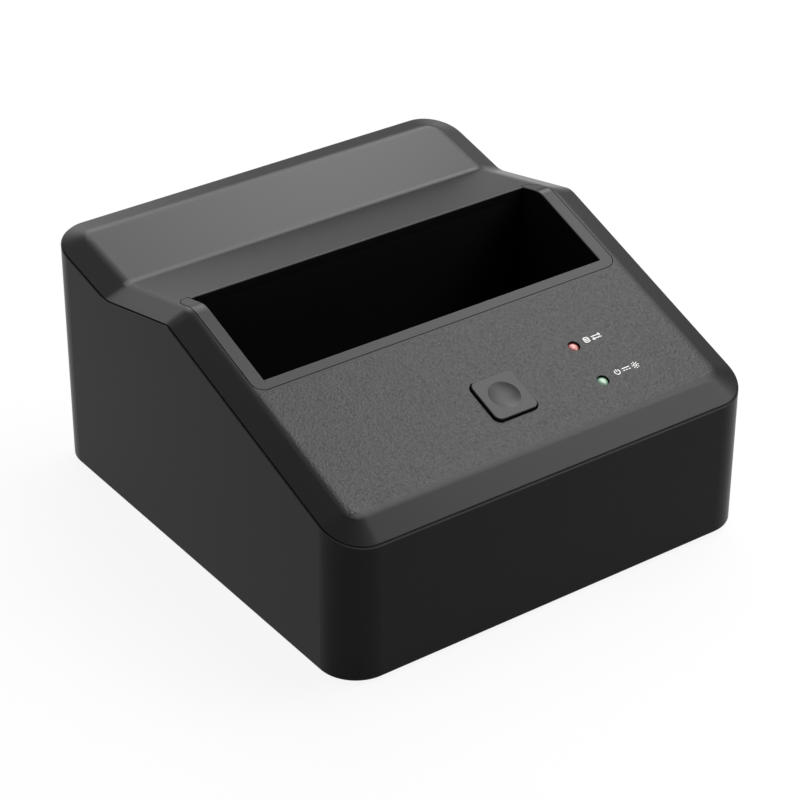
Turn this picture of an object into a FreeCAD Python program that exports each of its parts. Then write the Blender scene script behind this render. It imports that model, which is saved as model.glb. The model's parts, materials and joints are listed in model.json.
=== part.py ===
"""Desktop dock for one bare drive: a tub with a wedge-shaped cover, a slot, a button and two lamps.

The frame stands on the table: +Z up, +X to the viewer's right along the front, +Y to the rear, with
the origin under the middle of the case at the bottom of its feet. Millimetres.
"""
import FreeCAD, Part
import math
import os
import re
import Sketcher
from FreeCAD import Placement, Rotation, Vector

doc = FreeCAD.newDocument("drive_dock")
sheet = doc.addObject("Spreadsheet::Sheet", "Sizes")

# Driving sizes, in millimetres and degrees
SIZES = {
    # case
    "case_width": 126.0, "case_depth": 134.0, "corner_radius": 10.4, "wall": 2.4,
    "floor_thickness": 2.4, "base_round": 0.6, "foot_proud": 1.0,
    # side profile of the rim, measured from the table and from the rear wall
    "ridge_from_rear": 58.9, "ridge_height": 65.3, "valley_from_rear": 28.8,
    "slope_angle": 19.6, "ramp_angle": 12.65, "plateau_angle": 13.0,
    "ridge_round": 5.0, "valley_round": 8.5,
    # cover
    "cover_thickness": 2.6, "bevel_run": 6.6, "bevel_drop": 2.25, "bevel_round": 6.5,
    "cover_inset": 0.45, "seam_gap": 0.2, "seam_depth": 1.0, "rim_run": 0.6, "rim_drop": 0.1,
    "lip_thickness": 1.4, "lip_depth": 3.0, "lip_gap": 0.15, "root_overlap": 0.6,
    # drive slot and its liner
    "drive_width": 101.6, "drive_thickness": 26.1, "drive_side_gap": 1.0, "drive_face_gap": 0.75,
    "slot_from_rear": 52.2, "slot_mouth": 32.3, "well_wall": 1.6,
    "well_floor_height": 14.6, "well_floor_thickness": 1.8,
    "lead_in_top": 46.0, "lead_in_bottom": 28.0,
    "frame_border": 3.6, "frame_front": 2.9, "frame_rear": 1.0, "frame_corner": 3.0,
    "frame_thickness": 1.3, "frame_gap": 0.2, "mouth_round": 0.35,
    "leg_radius": 2.5, "leg_in": 3.4, "leg_end_in": 4.8,
    "snap_width": 8.0, "snap_reach": 0.9, "snap_height": 3.0, "snap_gap": 0.1, "snap_x": 30.0,
    # feet and case screws
    "foot_radius": 6.0, "foot_recess": 0.8, "foot_gap": 0.1, "foot_round": 0.4,
    "post_radius": 4.2, "post_in": 6.6, "front_post_in": 22.0, "rear_post_in": 21.0,
    "front_post_height": 20.6, "rear_post_height": 30.6, "post_web": 3.0, "post_rib": 1.6,
    "screw_access_radius": 3.2, "screw_clear_radius": 1.7, "boss_radius": 3.5,
    "case_screw_radius": 1.22, "case_screw_pilot": 1.25, "case_screw_length": 10.0,
    "case_head_radius": 2.8, "case_head_height": 2.2, "pilot_spare": 2.0,
    # main board
    "board_width": 92.0, "board_depth": 91.0, "board_thickness": 1.6, "board_rear_gap": 1.0,
    "board_corner": 2.0, "standoff_height": 4.0, "standoff_radius": 3.0, "board_hole_in": 4.5,
    "board_screw_radius": 1.08, "board_screw_pilot": 1.1, "board_screw_length": 6.0,
    "board_screw_clear": 1.5, "board_head_radius": 2.3, "board_head_height": 1.6,
    # drive socket
    "sata_x": 14.8, "sata_from_rear": 4.25, "sata_length": 41.0, "sata_width": 6.0, "sata_height": 10.5,
    "sata_span": 33.39, "signal_blade": 10.41, "power_blade": 20.57, "blade_slot": 1.9,
    "blade_depth": 6.5, "blade_play": 0.15, "key_width": 1.3, "key_reach": 1.5, "sata_gap": 0.4,
    "contact_pitch": 1.27, "contact_width": 0.7, "contact_thickness": 0.25, "contact_height": 5.0,
    # rear sockets
    "usb_x": -22.0, "usb_width": 12.1, "usb_height": 11.1, "usb_depth": 17.0,
    "usb_shell": 0.5, "usb_low_width": 8.5, "usb_low_height": 7.8, "usb_top_width": 5.9,
    "usb_top_height": 2.4, "usb_back": 7.0, "usb_tongue_width": 5.6, "usb_tongue_height": 3.2,
    "usb_tongue_length": 7.5, "usb_fine_tongue": 0.9, "usb_inner_gap": 0.05,
    "jack_x": 20.0, "jack_width": 9.0, "jack_height": 11.0, "jack_depth": 14.2, "jack_bore": 3.2,
    "jack_bore_depth": 10.5, "jack_axis_height": 6.0, "jack_pin": 1.05, "jack_pin_length": 8.5,
    "jack_pin_root": 1.5, "jack_pin_gap": 0.02, "socket_set_back": 0.3, "socket_gap": 0.2,
    # parts on the main board
    "chip_size": 9.0, "chip_height": 1.0, "can_radius": 3.15, "can_height": 7.7, "can_base": 6.6,
    "can_base_height": 1.0, "can_pitch": 8.6, "coil_size": 7.0, "coil_height": 3.6, "crystal_length": 11.0,
    "crystal_width": 4.6, "crystal_height": 3.4,
    # front panel, measured up the slope from its front edge
    "button_size": 13.0, "button_corner": 2.0, "button_gap": 0.4, "button_proud": 0.75,
    "button_along": 23.7, "button_travel": 1.5, "button_edge": 0.3, "button_crown": 1.8,
    "button_wall": 1.4, "flange_reach": 1.0, "flange_thickness": 1.2, "flange_gap": 0.1,
    "dish_radius": 4.2, "dish_depth": 0.7, "stem_radius": 2.2, "stem_end": 6.0,
    "guide_wall": 1.2, "guide_gap": 0.2,
    "lamp_x": 26.85, "data_lamp_along": 30.25, "power_lamp_along": 17.8, "lamp_radius": 1.55,
    "lamp_hole_gap": 0.1, "lamp_set_back": 0.1, "lamp_dome": 2.4, "lamp_length": 5.55, "lamp_rim_reach": 0.4,
    "lamp_rim_height": 1.0, "lead_half": 0.25, "lead_pitch": 2.54, "lead_below": 1.2, "lead_hole": 0.45,
    "panel_depth": 15.6, "panel_thickness": 1.6, "panel_left": 18.0, "panel_right": 32.5,
    "panel_low": 12.0, "panel_high": 36.0, "panel_post_radius": 2.5, "panel_post_x": 14.0,
    "panel_post_along": 8.5, "panel_screw_radius": 0.83, "panel_screw_pilot": 0.85,
    "panel_screw_length": 6.0, "panel_screw_clear": 1.2, "panel_head_radius": 1.9,
    "panel_head_height": 1.3,
    # push switch
    "switch_size": 8.5, "switch_height": 7.0, "switch_wall": 0.8, "plunger_half": 1.5,
    "plunger_gap": 0.15, "plunger_rim": 2.5, "plunger_rim_height": 0.8,
    "spring_radius": 1.7, "spring_wire": 0.2, "spring_turns": 4.0, "spring_gap": 0.05,
    # lead between the two boards
    "plug_x": 4.0, "plug_along": 16.0, "plug_width": 9.6, "header_height": 5.0, "header_depth": 5.0,
    "header_wall": 0.7, "plug_gap": 0.1, "plug_inside": 3.6, "plug_outside": 3.0, "wire_radius": 0.6,
    "wire_pitch": 1.5, "wire_bend": 11.0, "bend_share": 0.9,
}
WIRES = 5
SIGNAL_CONTACTS = 7
POWER_CONTACTS = 15

# Two places nearer than this are the same place
TOUCH = 0.01

for row, (alias, size) in enumerate(SIZES.items(), start=1):
    sheet.set(f"A{row}", alias)
    sheet.set(f"B{row}", str(size))
    sheet.setAlias(f"B{row}", alias)
doc.recompute()


# Formulas in plain size names

WORKED = {
    "half_width": "case_width / 2",
    "half_depth": "case_depth / 2",
    "reach": "case_depth",
    "floor_z": "foot_proud + floor_thickness",
    "inner_x": "case_width / 2 - wall",
    "inner_y": "case_depth / 2 - wall",
    "ridge_y": "half_depth - ridge_from_rear",
    "valley_y": "half_depth - valley_from_rear",
    "slot_rear_y": "half_depth - slot_from_rear",
    "valley_height": "ridge_height - (valley_y - ridge_y) * tan(ramp_angle)",
    "ridge_lean": "sin((slope_angle - ramp_angle) / 2) / cos((slope_angle + ramp_angle) / 2)",
    "ridge_rise": "cos((slope_angle - ramp_angle) / 2) / cos((slope_angle + ramp_angle) / 2)",
    "valley_lean": "sin((plateau_angle - ramp_angle) / 2) / cos((plateau_angle + ramp_angle) / 2)",
    "valley_rise": "cos((plateau_angle - ramp_angle) / 2) / cos((plateau_angle + ramp_angle) / 2)",
    "panel_edge_z": "ridge_height + cover_thickness / cos(slope_angle)"
                    " - (ridge_y + case_depth / 2) * tan(slope_angle)",
    "slot_half": "drive_width / 2 + drive_side_gap",
    "slot_front_y": "slot_rear_y - slot_mouth",
    "well_front_y": "slot_rear_y - drive_thickness - 2 * drive_face_gap",
    "frame_half": "slot_half + frame_border",
    "frame_front_y": "slot_front_y - frame_front",
    "frame_rear_y": "slot_rear_y + frame_rear",
    "leg_front_y": "well_front_y + leg_end_in",
    "leg_rear_y": "slot_rear_y - leg_end_in",
    "post_x": "inner_x - post_in",
    "front_post_y": "front_post_in - half_depth",
    "rear_post_y": "half_depth - rear_post_in",
    "front_post_top": "floor_z + front_post_height",
    "rear_post_top": "floor_z + rear_post_height",
    "foot_x": "half_width - corner_radius",
    "foot_y": "half_depth - corner_radius",
    "board_z": "floor_z + standoff_height",
    "board_top": "board_z + board_thickness",
    "board_rear_y": "inner_y - board_rear_gap",
    "board_front_y": "board_rear_y - board_depth",
    "board_hole_x": "board_width / 2 - board_hole_in",
    "sata_y": "slot_rear_y - sata_from_rear",
    "socket_face_y": "half_depth - socket_set_back",
    "button_half": "button_size / 2",
    "flange_half": "button_half + flange_reach",
    "guide_half": "flange_half + guide_gap",
    "guide_depth": "flange_gap + flange_thickness + button_travel + guide_gap",
    "lamp_base": "lamp_set_back + lamp_length",
    "switch_top": "panel_depth - switch_height",
    "panel_back": "panel_depth + panel_thickness",
    "usb_base": "board_top + (usb_height - usb_low_height - usb_top_height) / 2",
    "jack_axis_z": "board_top + jack_axis_height",
    "header_z": "board_top + header_height / 2",
}


def formula(words):
    """Write a formula of size names as a sheet expression."""
    def swap(found):
        name = found.group()
        if name in WORKED:
            return "(" + formula(WORKED[name]) + ")"
        return "Sizes." + name if name in SIZES else name
    return re.sub(r"[a-z][a-z_]*", swap, str(words))


def bind(item, **formulas):
    """Bind properties to formulas; a double underscore in a name is a dot in the property's path."""
    for path, words in formulas.items():
        item.setExpression(path.replace("__", "."), formula(words))
    return item


def worth(words):
    """Value of a formula as a number."""
    found = sheet.evalExpression(formula(words))
    return float(getattr(found, "Value", found))


def about(middle, half):
    """Span of a half width to each side of a middle."""
    return f"{middle} - ({half})", f"{middle} + {half}"


# Building blocks

def block(name, x, y, z):
    """Box between two formulas on each axis."""
    item = doc.addObject("Part::Box", name)
    bind(item, Length=f"({x[1]}) - ({x[0]})", Width=f"({y[1]}) - ({y[0]})", Height=f"({z[1]}) - ({z[0]})")
    return bind(item, Placement__Base__x=x[0], Placement__Base__y=y[0], Placement__Base__z=z[0])


def rod(name, radius, centre, z):
    """Upright cylinder between two heights."""
    item = doc.addObject("Part::Cylinder", name)
    bind(item, Radius=radius, Height=f"({z[1]}) - ({z[0]})")
    return bind(item, Placement__Base__x=centre[0], Placement__Base__y=centre[1], Placement__Base__z=z[0])


def fuse(name, *items):
    item = doc.addObject("Part::MultiFuse", name)
    item.Shapes = list(items)
    return item


def group(name, *items):
    item = doc.addObject("Part::Compound", name)
    item.Links = list(items)
    return item


def common(name, first, second):
    item = doc.addObject("Part::Common", name)
    item.Base = first
    item.Tool = second
    return item


def cut(name, base, *tools):
    item = doc.addObject("Part::Cut", name)
    item.Base = base
    item.Tool = tools[0] if len(tools) == 1 else fuse(name + "_tools", *tools)
    return item


def on_panel(item):
    """Lay a piece drawn flat onto the cover's slope: x across, y up the slope, z out of it."""
    item.Placement = Placement(Vector(), Rotation(Vector(1, 0, 0), SIZES["slope_angle"]))
    return bind(item, Placement__Base__y="-half_depth", Placement__Base__z="panel_edge_z",
                Placement__Rotation__Angle="slope_angle")


def sketch_on(body, role, offset="0"):
    """Sketch on one of the body's origin planes, moved along the plane's normal."""
    plane = next(each for each in body.Origin.OriginFeatures if each.Role == role)
    sketch = body.newObject("Sketcher::SketchObject", body.Name + "_sketch")
    sketch.AttachmentSupport = [(plane, "")]
    sketch.MapMode = "FlatFace"
    return bind(sketch, AttachmentOffset__Base__z=offset)


def outline(sketch, corners):
    """Closed outline of straight sides whose corners are pairs of formulas."""
    count = len(corners)
    turn = 2 * math.pi / count
    start = [Vector(math.cos(turn * i), math.sin(turn * i), 0) for i in range(count)]
    for i in range(count):
        sketch.addGeometry(Part.LineSegment(start[i], start[(i + 1) % count]))
    for i in range(count):
        sketch.addConstraint(Sketcher.Constraint("Coincident", i, 2, (i + 1) % count, 1))
    for i, corner in enumerate(corners):
        for kind, place, words in zip(("DistanceX", "DistanceY"), (start[i].x, start[i].y), corner):
            index = sketch.addConstraint(Sketcher.Constraint(kind, -1, 1, i, 1, place))
            sketch.renameConstraint(index, f"{kind}{i}")
            sketch.setExpression(f"Constraints.{kind}{i}", formula(words))
    return sketch


def rectangle(x, y):
    return [(x[0], y[0]), (x[1], y[0]), (x[1], y[1]), (x[0], y[1])]


def pad(body, sketch, length, side="One side"):
    item = body.newObject("PartDesign::Pad", body.Name + "_pad")
    item.Profile = sketch
    item.SideType = side
    bind(item, Length=length)
    doc.recompute()
    return item


def pocket(body, sketch, length, side="One side"):
    item = body.newObject("PartDesign::Pocket", body.Name + "_pocket")
    item.Profile = sketch
    item.SideType = side
    bind(item, Length=length)
    doc.recompute()
    return item


def fillet(body, radius, test):
    item = body.newObject("PartDesign::Fillet", body.Name + "_fillet")
    item.Base = (item.BaseFeature, edges_before(item, test))
    bind(item, Radius=radius)
    doc.recompute()
    return item


def edges_before(item, test):
    """Names of the edges of the feature that an edge treatment starts from."""
    return [f"Edge{i}" for i, edge in enumerate(item.BaseFeature.Shape.Edges, start=1) if test(edge)]


def direction(edge):
    first, last = edge.Vertexes[0].Point, edge.Vertexes[-1].Point
    return (last - first).normalize() if first != last else Vector()


def upright(edge):
    return edge.Curve.TypeId == "Part::GeomLine" and abs(direction(edge).z) > 0.999


def across(edge):
    return edge.Curve.TypeId == "Part::GeomLine" and abs(direction(edge).x) > 0.999


def softened(name, item, radius, test):
    """A finished solid with some of its edges rounded."""
    body = doc.addObject("PartDesign::Body", name)
    doc.recompute()
    body.BaseFeature = item
    doc.recompute()
    fillet(body, radius, test)
    return body


def rounded_block(name, x, y, z, radius):
    """Upright block with rounded corners."""
    body = doc.addObject("PartDesign::Body", name)
    pad(body, outline(sketch_on(body, "XY_Plane", z[0]), rectangle(x, y)), f"({z[1]}) - ({z[0]})")
    fillet(body, radius, upright)
    return body


# The cover's side profile: a slope, a ridge, a ramp, a valley and a plateau

def profile_points(lift):
    """Profile raised square to its faces by a lift, from the front to the rear."""
    ridge = (f"ridge_y - ({lift}) * ridge_lean", f"ridge_height + ({lift}) * ridge_rise")
    valley = (f"valley_y - ({lift}) * valley_lean", f"valley_height + ({lift}) * valley_rise")
    front = ("-reach", f"{ridge[1]} - ({ridge[0]} + reach) * tan(slope_angle)")
    rear = ("reach", f"{valley[1]} + (reach - ({valley[0]})) * tan(plateau_angle)")
    return [front, ridge, valley, rear]


def bend_edges(high):
    """Test for the ridge's edge, or for the valley's."""
    between = worth("(ridge_y + valley_y) / 2")
    inside = worth("half_depth - corner_radius")
    low = worth("ridge_height / 2")

    def test(edge):
        middle = edge.CenterOfMass
        return across(edge) and abs(middle.y) < inside and middle.z > low and (middle.y < between) == high
    return test


def front_top_edge(edge):
    """Test for the top edge of the front wall, which starts the smooth edge round the whole top."""
    middle = edge.CenterOfMass
    at_front = middle.y < TOUCH + worth("cover_inset - half_depth")
    return across(edge) and at_front and middle.z > worth("2 * floor_thickness")


def top_bevel(body, run, drop):
    """Bevel round the whole top of a profiled block: a run across the top and a drop down the wall."""
    def wall_top(shape):
        return max(edge.CenterOfMass.z for edge in shape.Edges if front_top_edge(edge))
    sharp = wall_top(body.Tip.Shape)
    bevel = body.newObject("PartDesign::Chamfer", body.Name + "_bevel")
    bevel.Base = (bevel.BaseFeature, edges_before(bevel, front_top_edge))
    bevel.ChamferType = "Two distances"
    bind(bevel, Size=run, Size2=drop)
    doc.recompute()
    bevel.FlipDirection = sharp - wall_top(bevel.Shape) > worth(f"({run} + {drop}) / 2")
    doc.recompute()
    return bevel


def profiled_block(name, lift, inset):
    """The case's plan outline, drawn in by an inset, raised from its underside to the profile at a lift."""
    body = rounded_block(name, about("0", f"half_width - {inset}"), about("0", f"half_depth - {inset}"),
                         ("foot_proud", "ridge_height + case_depth"), f"corner_radius - {inset}")
    above = profile_points(lift) + [("reach", "3 * reach"), ("-reach", "3 * reach")]
    pocket(body, outline(sketch_on(body, "YZ_Plane"), above), "2 * reach", side="Symmetric")
    fillet(body, f"ridge_round + ({lift})", bend_edges(high=True))
    fillet(body, f"valley_round - ({lift})", bend_edges(high=False))
    return body


def under_profile(name, lift):
    """Everything below the profile raised by a lift, wider than the case."""
    body = doc.addObject("PartDesign::Body", name)
    corners = profile_points(lift) + [("reach", "-reach"), ("-reach", "-reach")]
    pad(body, outline(sketch_on(body, "YZ_Plane"), corners), "2 * reach", side="Symmetric")
    fillet(body, f"ridge_round + ({lift})", bend_edges(high=True))
    fillet(body, f"valley_round - ({lift})", bend_edges(high=False))
    return body


BELOW_RIM = under_profile("below_rim", "0")
BELOW_TOP = under_profile("below_top", "cover_thickness")
BELOW_ROOT = under_profile("below_root", "root_overlap")
BELOW_SEAT = under_profile("below_seat", "cover_thickness - frame_thickness")

CORNERS = [(side, end) for end in (-1, 1) for side in (-1, 1)]
POSTS = [(f"{side} * post_x", f"{end}_post_y", f"{end}_post_top") for end in ("front", "rear")
         for side in (-1, 1)]


# Case

def lower_housing():
    """Open tub with an uneven rim, screw posts, board standoffs and two socket windows."""
    shell = profiled_block("housing_shell", "0", "0")
    fillet(shell, "base_round", lambda edge: edge.BoundBox.ZMax < worth("foot_proud") + TOUCH)
    top_bevel(shell, "rim_run", "rim_drop")
    room = rounded_block("housing_room", about("0", "inner_x"), about("0", "inner_y"),
                         ("floor_z", "ridge_height + case_depth"), "corner_radius - wall")
    tub = cut("housing_tub", shell, room)
    added = []
    removed = []
    for i, (x, y, top) in enumerate(POSTS):
        in_wall = x.replace("post_x", "(inner_x + wall / 2)")
        rib_x = sorted((x, in_wall), key=worth)
        added.append(rod(f"post_{i}", "post_radius", (x, y), ("floor_z - wall / 2", top)))
        added.append(block(f"post_rib_{i}", rib_x, about(y, "post_rib / 2"),
                           ("floor_z - wall / 2", f"{top} - post_web")))
        removed.append(rod(f"access_{i}", "screw_access_radius", (x, y), ("0", f"{top} - post_web")))
        removed.append(rod(f"clear_{i}", "screw_clear_radius", (x, y), ("foot_proud", f"{top} + wall")))
    for i, (x, y) in enumerate(board_holes()):
        added.append(rod(f"standoff_{i}", "standoff_radius", (x, y), ("floor_z - wall / 2", "board_z")))
        removed.append(rod(f"standoff_pilot_{i}", "board_screw_pilot", (x, y),
                           ("board_top - board_screw_length - floor_thickness / 4", "board_z + wall")))
    for i, (side, end) in enumerate(CORNERS):
        place = (f"{side} * foot_x", f"{end} * foot_y")
        removed.append(rod(f"foot_seat_{i}", "foot_radius + foot_gap", place,
                           ("0", "foot_proud + foot_recess")))
    for socket in ("usb", "jack"):
        removed.append(block(f"{socket}_window", about(f"{socket}_x", f"{socket}_width / 2 + socket_gap"),
                             ("inner_y - wall", "half_depth + wall"),
                             ("board_top - socket_gap", f"board_top + {socket}_height + socket_gap")))
    return cut("lower_housing", fuse("housing_solid", tub, *added), *removed)


def board_holes():
    """Screw positions of the main board."""
    ends = ("board_front_y + board_hole_in", "board_rear_y - board_hole_in")
    return [(f"{side} * board_hole_x", y) for y in ends for side in (-1, 1)]


def cover_form():
    """Outer form of the cover: the profiled block with a soft bevel round its top."""
    body = profiled_block("cover_form", "cover_thickness", "cover_inset")
    top_bevel(body, "bevel_run", "bevel_drop")

    def bevel_top_edge(edge):
        back = edge.CenterOfMass.y + worth("half_depth")
        return across(edge) and worth("bevel_drop") / 2 < back < worth("2 * bevel_run")
    fillet(body, "bevel_round", bevel_top_edge)
    return body


def lips():
    """Straight tongues that drop inside the housing's walls, clear of its corners."""
    outer_x = "inner_x - lip_gap"
    outer_y = "inner_y - lip_gap"
    along_x = about("0", "half_width - corner_radius - wall")
    along_y = about("0", "half_depth - corner_radius - wall")
    tall = ("floor_z", "ridge_height + half_depth")
    bars = [block("lip_right", (f"{outer_x} - lip_thickness", outer_x), along_y, tall),
            block("lip_left", (f"-({outer_x})", f"lip_thickness - ({outer_x})"), along_y, tall),
            block("lip_rear", along_x, (f"{outer_y} - lip_thickness", outer_y), tall),
            block("lip_front", along_x, (f"-({outer_y})", f"lip_thickness - ({outer_y})"), tall)]
    under_lip = under_profile("below_lip", "-lip_depth")
    return cut("lips", common("lip_bars", fuse("lip_run", *bars), BELOW_ROOT), under_lip)


def panel_posts():
    """Screw positions of the panel board, on the panel."""
    return [("-panel_post_x", "button_along"), ("panel_post_x", "button_along + panel_post_along"),
            ("panel_post_x", "button_along - panel_post_along")]


def lamps():
    return [("data_lamp", "data_lamp_along"), ("power_lamp", "power_lamp_along")]


def button_guide():
    """Square skirt under the cover that the button's flange slides in, drawn flat."""
    wide = "guide_half + guide_wall"
    low = "-cover_thickness - guide_depth"
    outer = block("guide_outer", about("0", wide), about("button_along", wide),
                  (low, "root_overlap - cover_thickness"))
    inner = block("guide_inner", about("0", "guide_half"), about("button_along", "guide_half"),
                  (f"{low} - wall", "-cover_thickness"))
    return cut("button_guide", outer, inner)


def panel_openings():
    """Button window, lamp holes and screw pilots of the front panel, drawn flat."""
    window_half = "button_half + button_gap"
    window = rounded_block("button_window", about("0", window_half), about("button_along", window_half),
                           ("-cover_thickness - wall / 2", "wall"), "button_corner + button_gap")
    holes = [rod(f"{name}_hole", "lamp_radius + lamp_hole_gap", ("lamp_x", along),
                 ("-cover_thickness - wall", "wall")) for name, along in lamps()]
    pilot_z = ("-panel_depth - wall", "panel_screw_length + pilot_spare - panel_back")
    pilots = [rod(f"panel_pilot_{i}", "panel_screw_pilot", place, pilot_z)
              for i, place in enumerate(panel_posts())]
    return fuse("through_panel", window, *holes, *pilots)


def frame_plan(name, gap):
    """Plan of the frame on three sides of the slot, grown by a gap, as an upright prism."""
    tall = ("well_floor_height", "ridge_height + half_depth")
    outside = rounded_block(f"{name}_outline", about("0", f"frame_half + {gap}"),
                            (f"frame_front_y - {gap}", f"frame_rear_y + {gap}"), tall,
                            f"frame_corner + {gap}")
    bridge = block(f"{name}_bridge", about("0", "slot_half"), ("slot_rear_y", "frame_rear_y + wall"), tall)
    return cut(f"{name}_plan", outside, bridge)


def top_cover():
    """Wedge-shaped cover with a rebated slot, a button guide, lamp holes, bosses and lips."""
    plate = cut("cover_plate", cover_form(), BELOW_RIM)
    inner = rounded_block("seam_core", about("0", "half_width - seam_depth"),
                          about("0", "half_depth - seam_depth"), ("0", "ridge_height + case_depth"),
                          "corner_radius - seam_depth")
    seam_band = cut("seam_band", under_profile("below_seam", "seam_gap"), inner)
    bosses = []
    pilots = []
    for i, (x, y, top) in enumerate(POSTS):
        bosses.append(rod(f"boss_{i}", "boss_radius", (x, y), (top, "ridge_height + half_depth")))
        pilot_end = f"{top} - post_web + case_screw_length + pilot_spare"
        pilots.append(rod(f"boss_pilot_{i}", "case_screw_pilot", (x, y), (f"{top} - wall", pilot_end)))
    boss_set = common("bosses", fuse("boss_rods", *bosses), BELOW_ROOT)
    hanger_z = ("-panel_depth", "root_overlap - cover_thickness")
    hangers = [rod(f"panel_post_{i}", "panel_post_radius", place, hanger_z)
               for i, place in enumerate(panel_posts())]
    under_panel = on_panel(fuse("under_panel", button_guide(), *hangers))
    seat_cut = cut("frame_seat", frame_plan("seat", "frame_gap"), BELOW_SEAT)
    opening = block("slot_opening", about("0", "slot_half + well_wall + frame_gap"),
                    ("slot_front_y - well_wall - frame_gap", "slot_rear_y"),
                    ("well_floor_height", "ridge_height + half_depth"))
    solid = fuse("cover_solid", plate, lips(), boss_set, under_panel)
    sharp = cut("cover_sharp", solid, seam_band, on_panel(panel_openings()), seat_cut, opening, *pilots)

    def mouth_edge(edge):
        middle = edge.CenterOfMass
        at_mouth = abs(middle.y - worth("slot_rear_y")) < TOUCH
        return across(edge) and at_mouth and middle.z > worth("ridge_height")
    return softened("top_cover", sharp, "mouth_round", mouth_edge)


# Drive bay

def well(name, half, grow, low, high):
    """Prism of the well's side view, grown by a wall."""
    body = doc.addObject("PartDesign::Body", name)
    rear = f"slot_rear_y + {grow}"
    front = f"slot_front_y - {grow}"
    lower_front = f"well_front_y - {grow}"
    corners = [(rear, low), (rear, high), (front, high), (front, "lead_in_top"),
               (lower_front, "lead_in_bottom"), (lower_front, low)]
    pad(body, outline(sketch_on(body, "YZ_Plane"), corners), f"2 * ({half})", side="Symmetric")
    return body


def drive_bay_liner():
    """Well that guides the drive down to its socket, with a flush frame round three sides of its mouth."""
    high = "ridge_height + case_depth"
    under_floor = "well_floor_height - well_floor_thickness"
    outer = well("well_outer", "slot_half + well_wall", "well_wall", under_floor, high)
    inner = well("well_inner", "slot_half", "0", "well_floor_height", high)
    under_ramp = block("under_ramp", about("0", "reach"), ("slot_rear_y", "reach"),
                       ("well_floor_height", high))
    hidden_top = cut("hidden_top", under_ramp, under_profile("below_clear", "-snap_gap"))
    walls = cut("well_walls", common("well_trimmed", outer, BELOW_TOP), hidden_top)
    frame = cut("frame_band", common("frame_top", frame_plan("frame", "0"), BELOW_TOP), BELOW_SEAT)
    leg_z = ("floor_z", "well_floor_height - well_floor_thickness / 2")
    leg_places = [(f"{side} * (slot_half + well_wall - leg_in)", f"leg_{end}_y")
                  for side in (-1, 1) for end in ("front", "rear")]
    legs = [rod(f"leg_{i}", "leg_radius", place, leg_z) for i, place in enumerate(leg_places)]
    snap_y = ("slot_front_y - well_wall - snap_reach", "slot_front_y - well_wall / 2")
    snaps = [block(f"snap_{i}", about(f"{side} * snap_x", "snap_width / 2"), snap_y,
                   ("lead_in_top + snap_height", high)) for i, side in enumerate((-1, 1))]
    snap_set = common("snaps", fuse("snap_blocks", *snaps), under_profile("below_snap", "-snap_gap"))
    window = block("socket_window", about("sata_x", "sata_length / 2 + sata_gap"),
                   about("sata_y", "sata_width / 2 + sata_gap"),
                   ("well_floor_height - 2 * well_floor_thickness", "well_floor_height + wall"))
    sharp = cut("liner_sharp", fuse("liner_solid", walls, frame, snap_set, *legs), inner, window)

    def mouth_edge(edge):
        middle = edge.CenterOfMass
        on_side = abs(abs(middle.x) - worth("slot_half")) < TOUCH and middle.y < worth("slot_rear_y")
        on_front = across(edge) and abs(middle.y - worth("slot_front_y")) < TOUCH
        return (on_side or on_front) and not upright(edge) and middle.z > worth("lead_in_top + wall")
    return softened("drive_bay_liner", sharp, "mouth_round", mouth_edge)


def sata_receptacle():
    """Upright drive socket with one slot for the signal blade and one for the power blade."""
    shell = rounded_block("sata_shell", about("sata_x", "sata_length / 2"),
                          about("sata_y", "sata_width / 2"),
                          ("board_top", "board_top + sata_height"), "key_width / 2")
    top = ("board_top + sata_height - blade_depth", "board_top + sata_height + wall")
    slot_y = about("sata_y", "blade_slot / 2")
    key_y = ("sata_y", "sata_y + blade_slot / 2 + key_reach")
    left = "sata_x - sata_span / 2 - blade_play"
    right = "sata_x + sata_span / 2 + blade_play"
    power_right = "sata_x - sata_span / 2 + power_blade + blade_play"
    signal_left = "sata_x + sata_span / 2 - signal_blade - blade_play"
    return cut("sata_receptacle", shell,
               block("power_slot", (left, power_right), slot_y, top),
               block("signal_slot", (signal_left, right), slot_y, top),
               block("power_key", (left, f"{left} + key_width"), key_y, top),
               block("signal_key", (signal_left, f"{signal_left} + key_width"), key_y, top))


def sata_contacts():
    """Spring contacts that stand against one side of each blade slot."""
    strips = []
    slot_floor = "board_top + sata_height - blade_depth"
    rows = (("power", POWER_CONTACTS, "sata_x - sata_span / 2 + power_blade / 2"),
            ("signal", SIGNAL_CONTACTS, "sata_x + sata_span / 2 - signal_blade / 2"))
    for name, count, middle in rows:
        for i in range(count):
            x = f"{middle} + {i - (count - 1) / 2} * contact_pitch"
            strips.append(block(f"{name}_contact_{i}", about(x, "contact_width / 2"),
                                ("sata_y - blade_slot / 2", "sata_y - blade_slot / 2 + contact_thickness"),
                                (slot_floor, f"{slot_floor} + contact_height")))
    return group("sata_contacts", *strips)


# Main board

def main_board():
    """Board on four standoffs, up to the rear wall."""
    board = rounded_block("board_plate", about("0", "board_width / 2"), ("board_front_y", "board_rear_y"),
                          ("board_z", "board_top"), "board_corner")
    holes = [rod(f"board_hole_{i}", "board_screw_clear", place, ("floor_z", "board_top + wall"))
             for i, place in enumerate(board_holes())]
    return cut("main_board", board, *holes)


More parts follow.
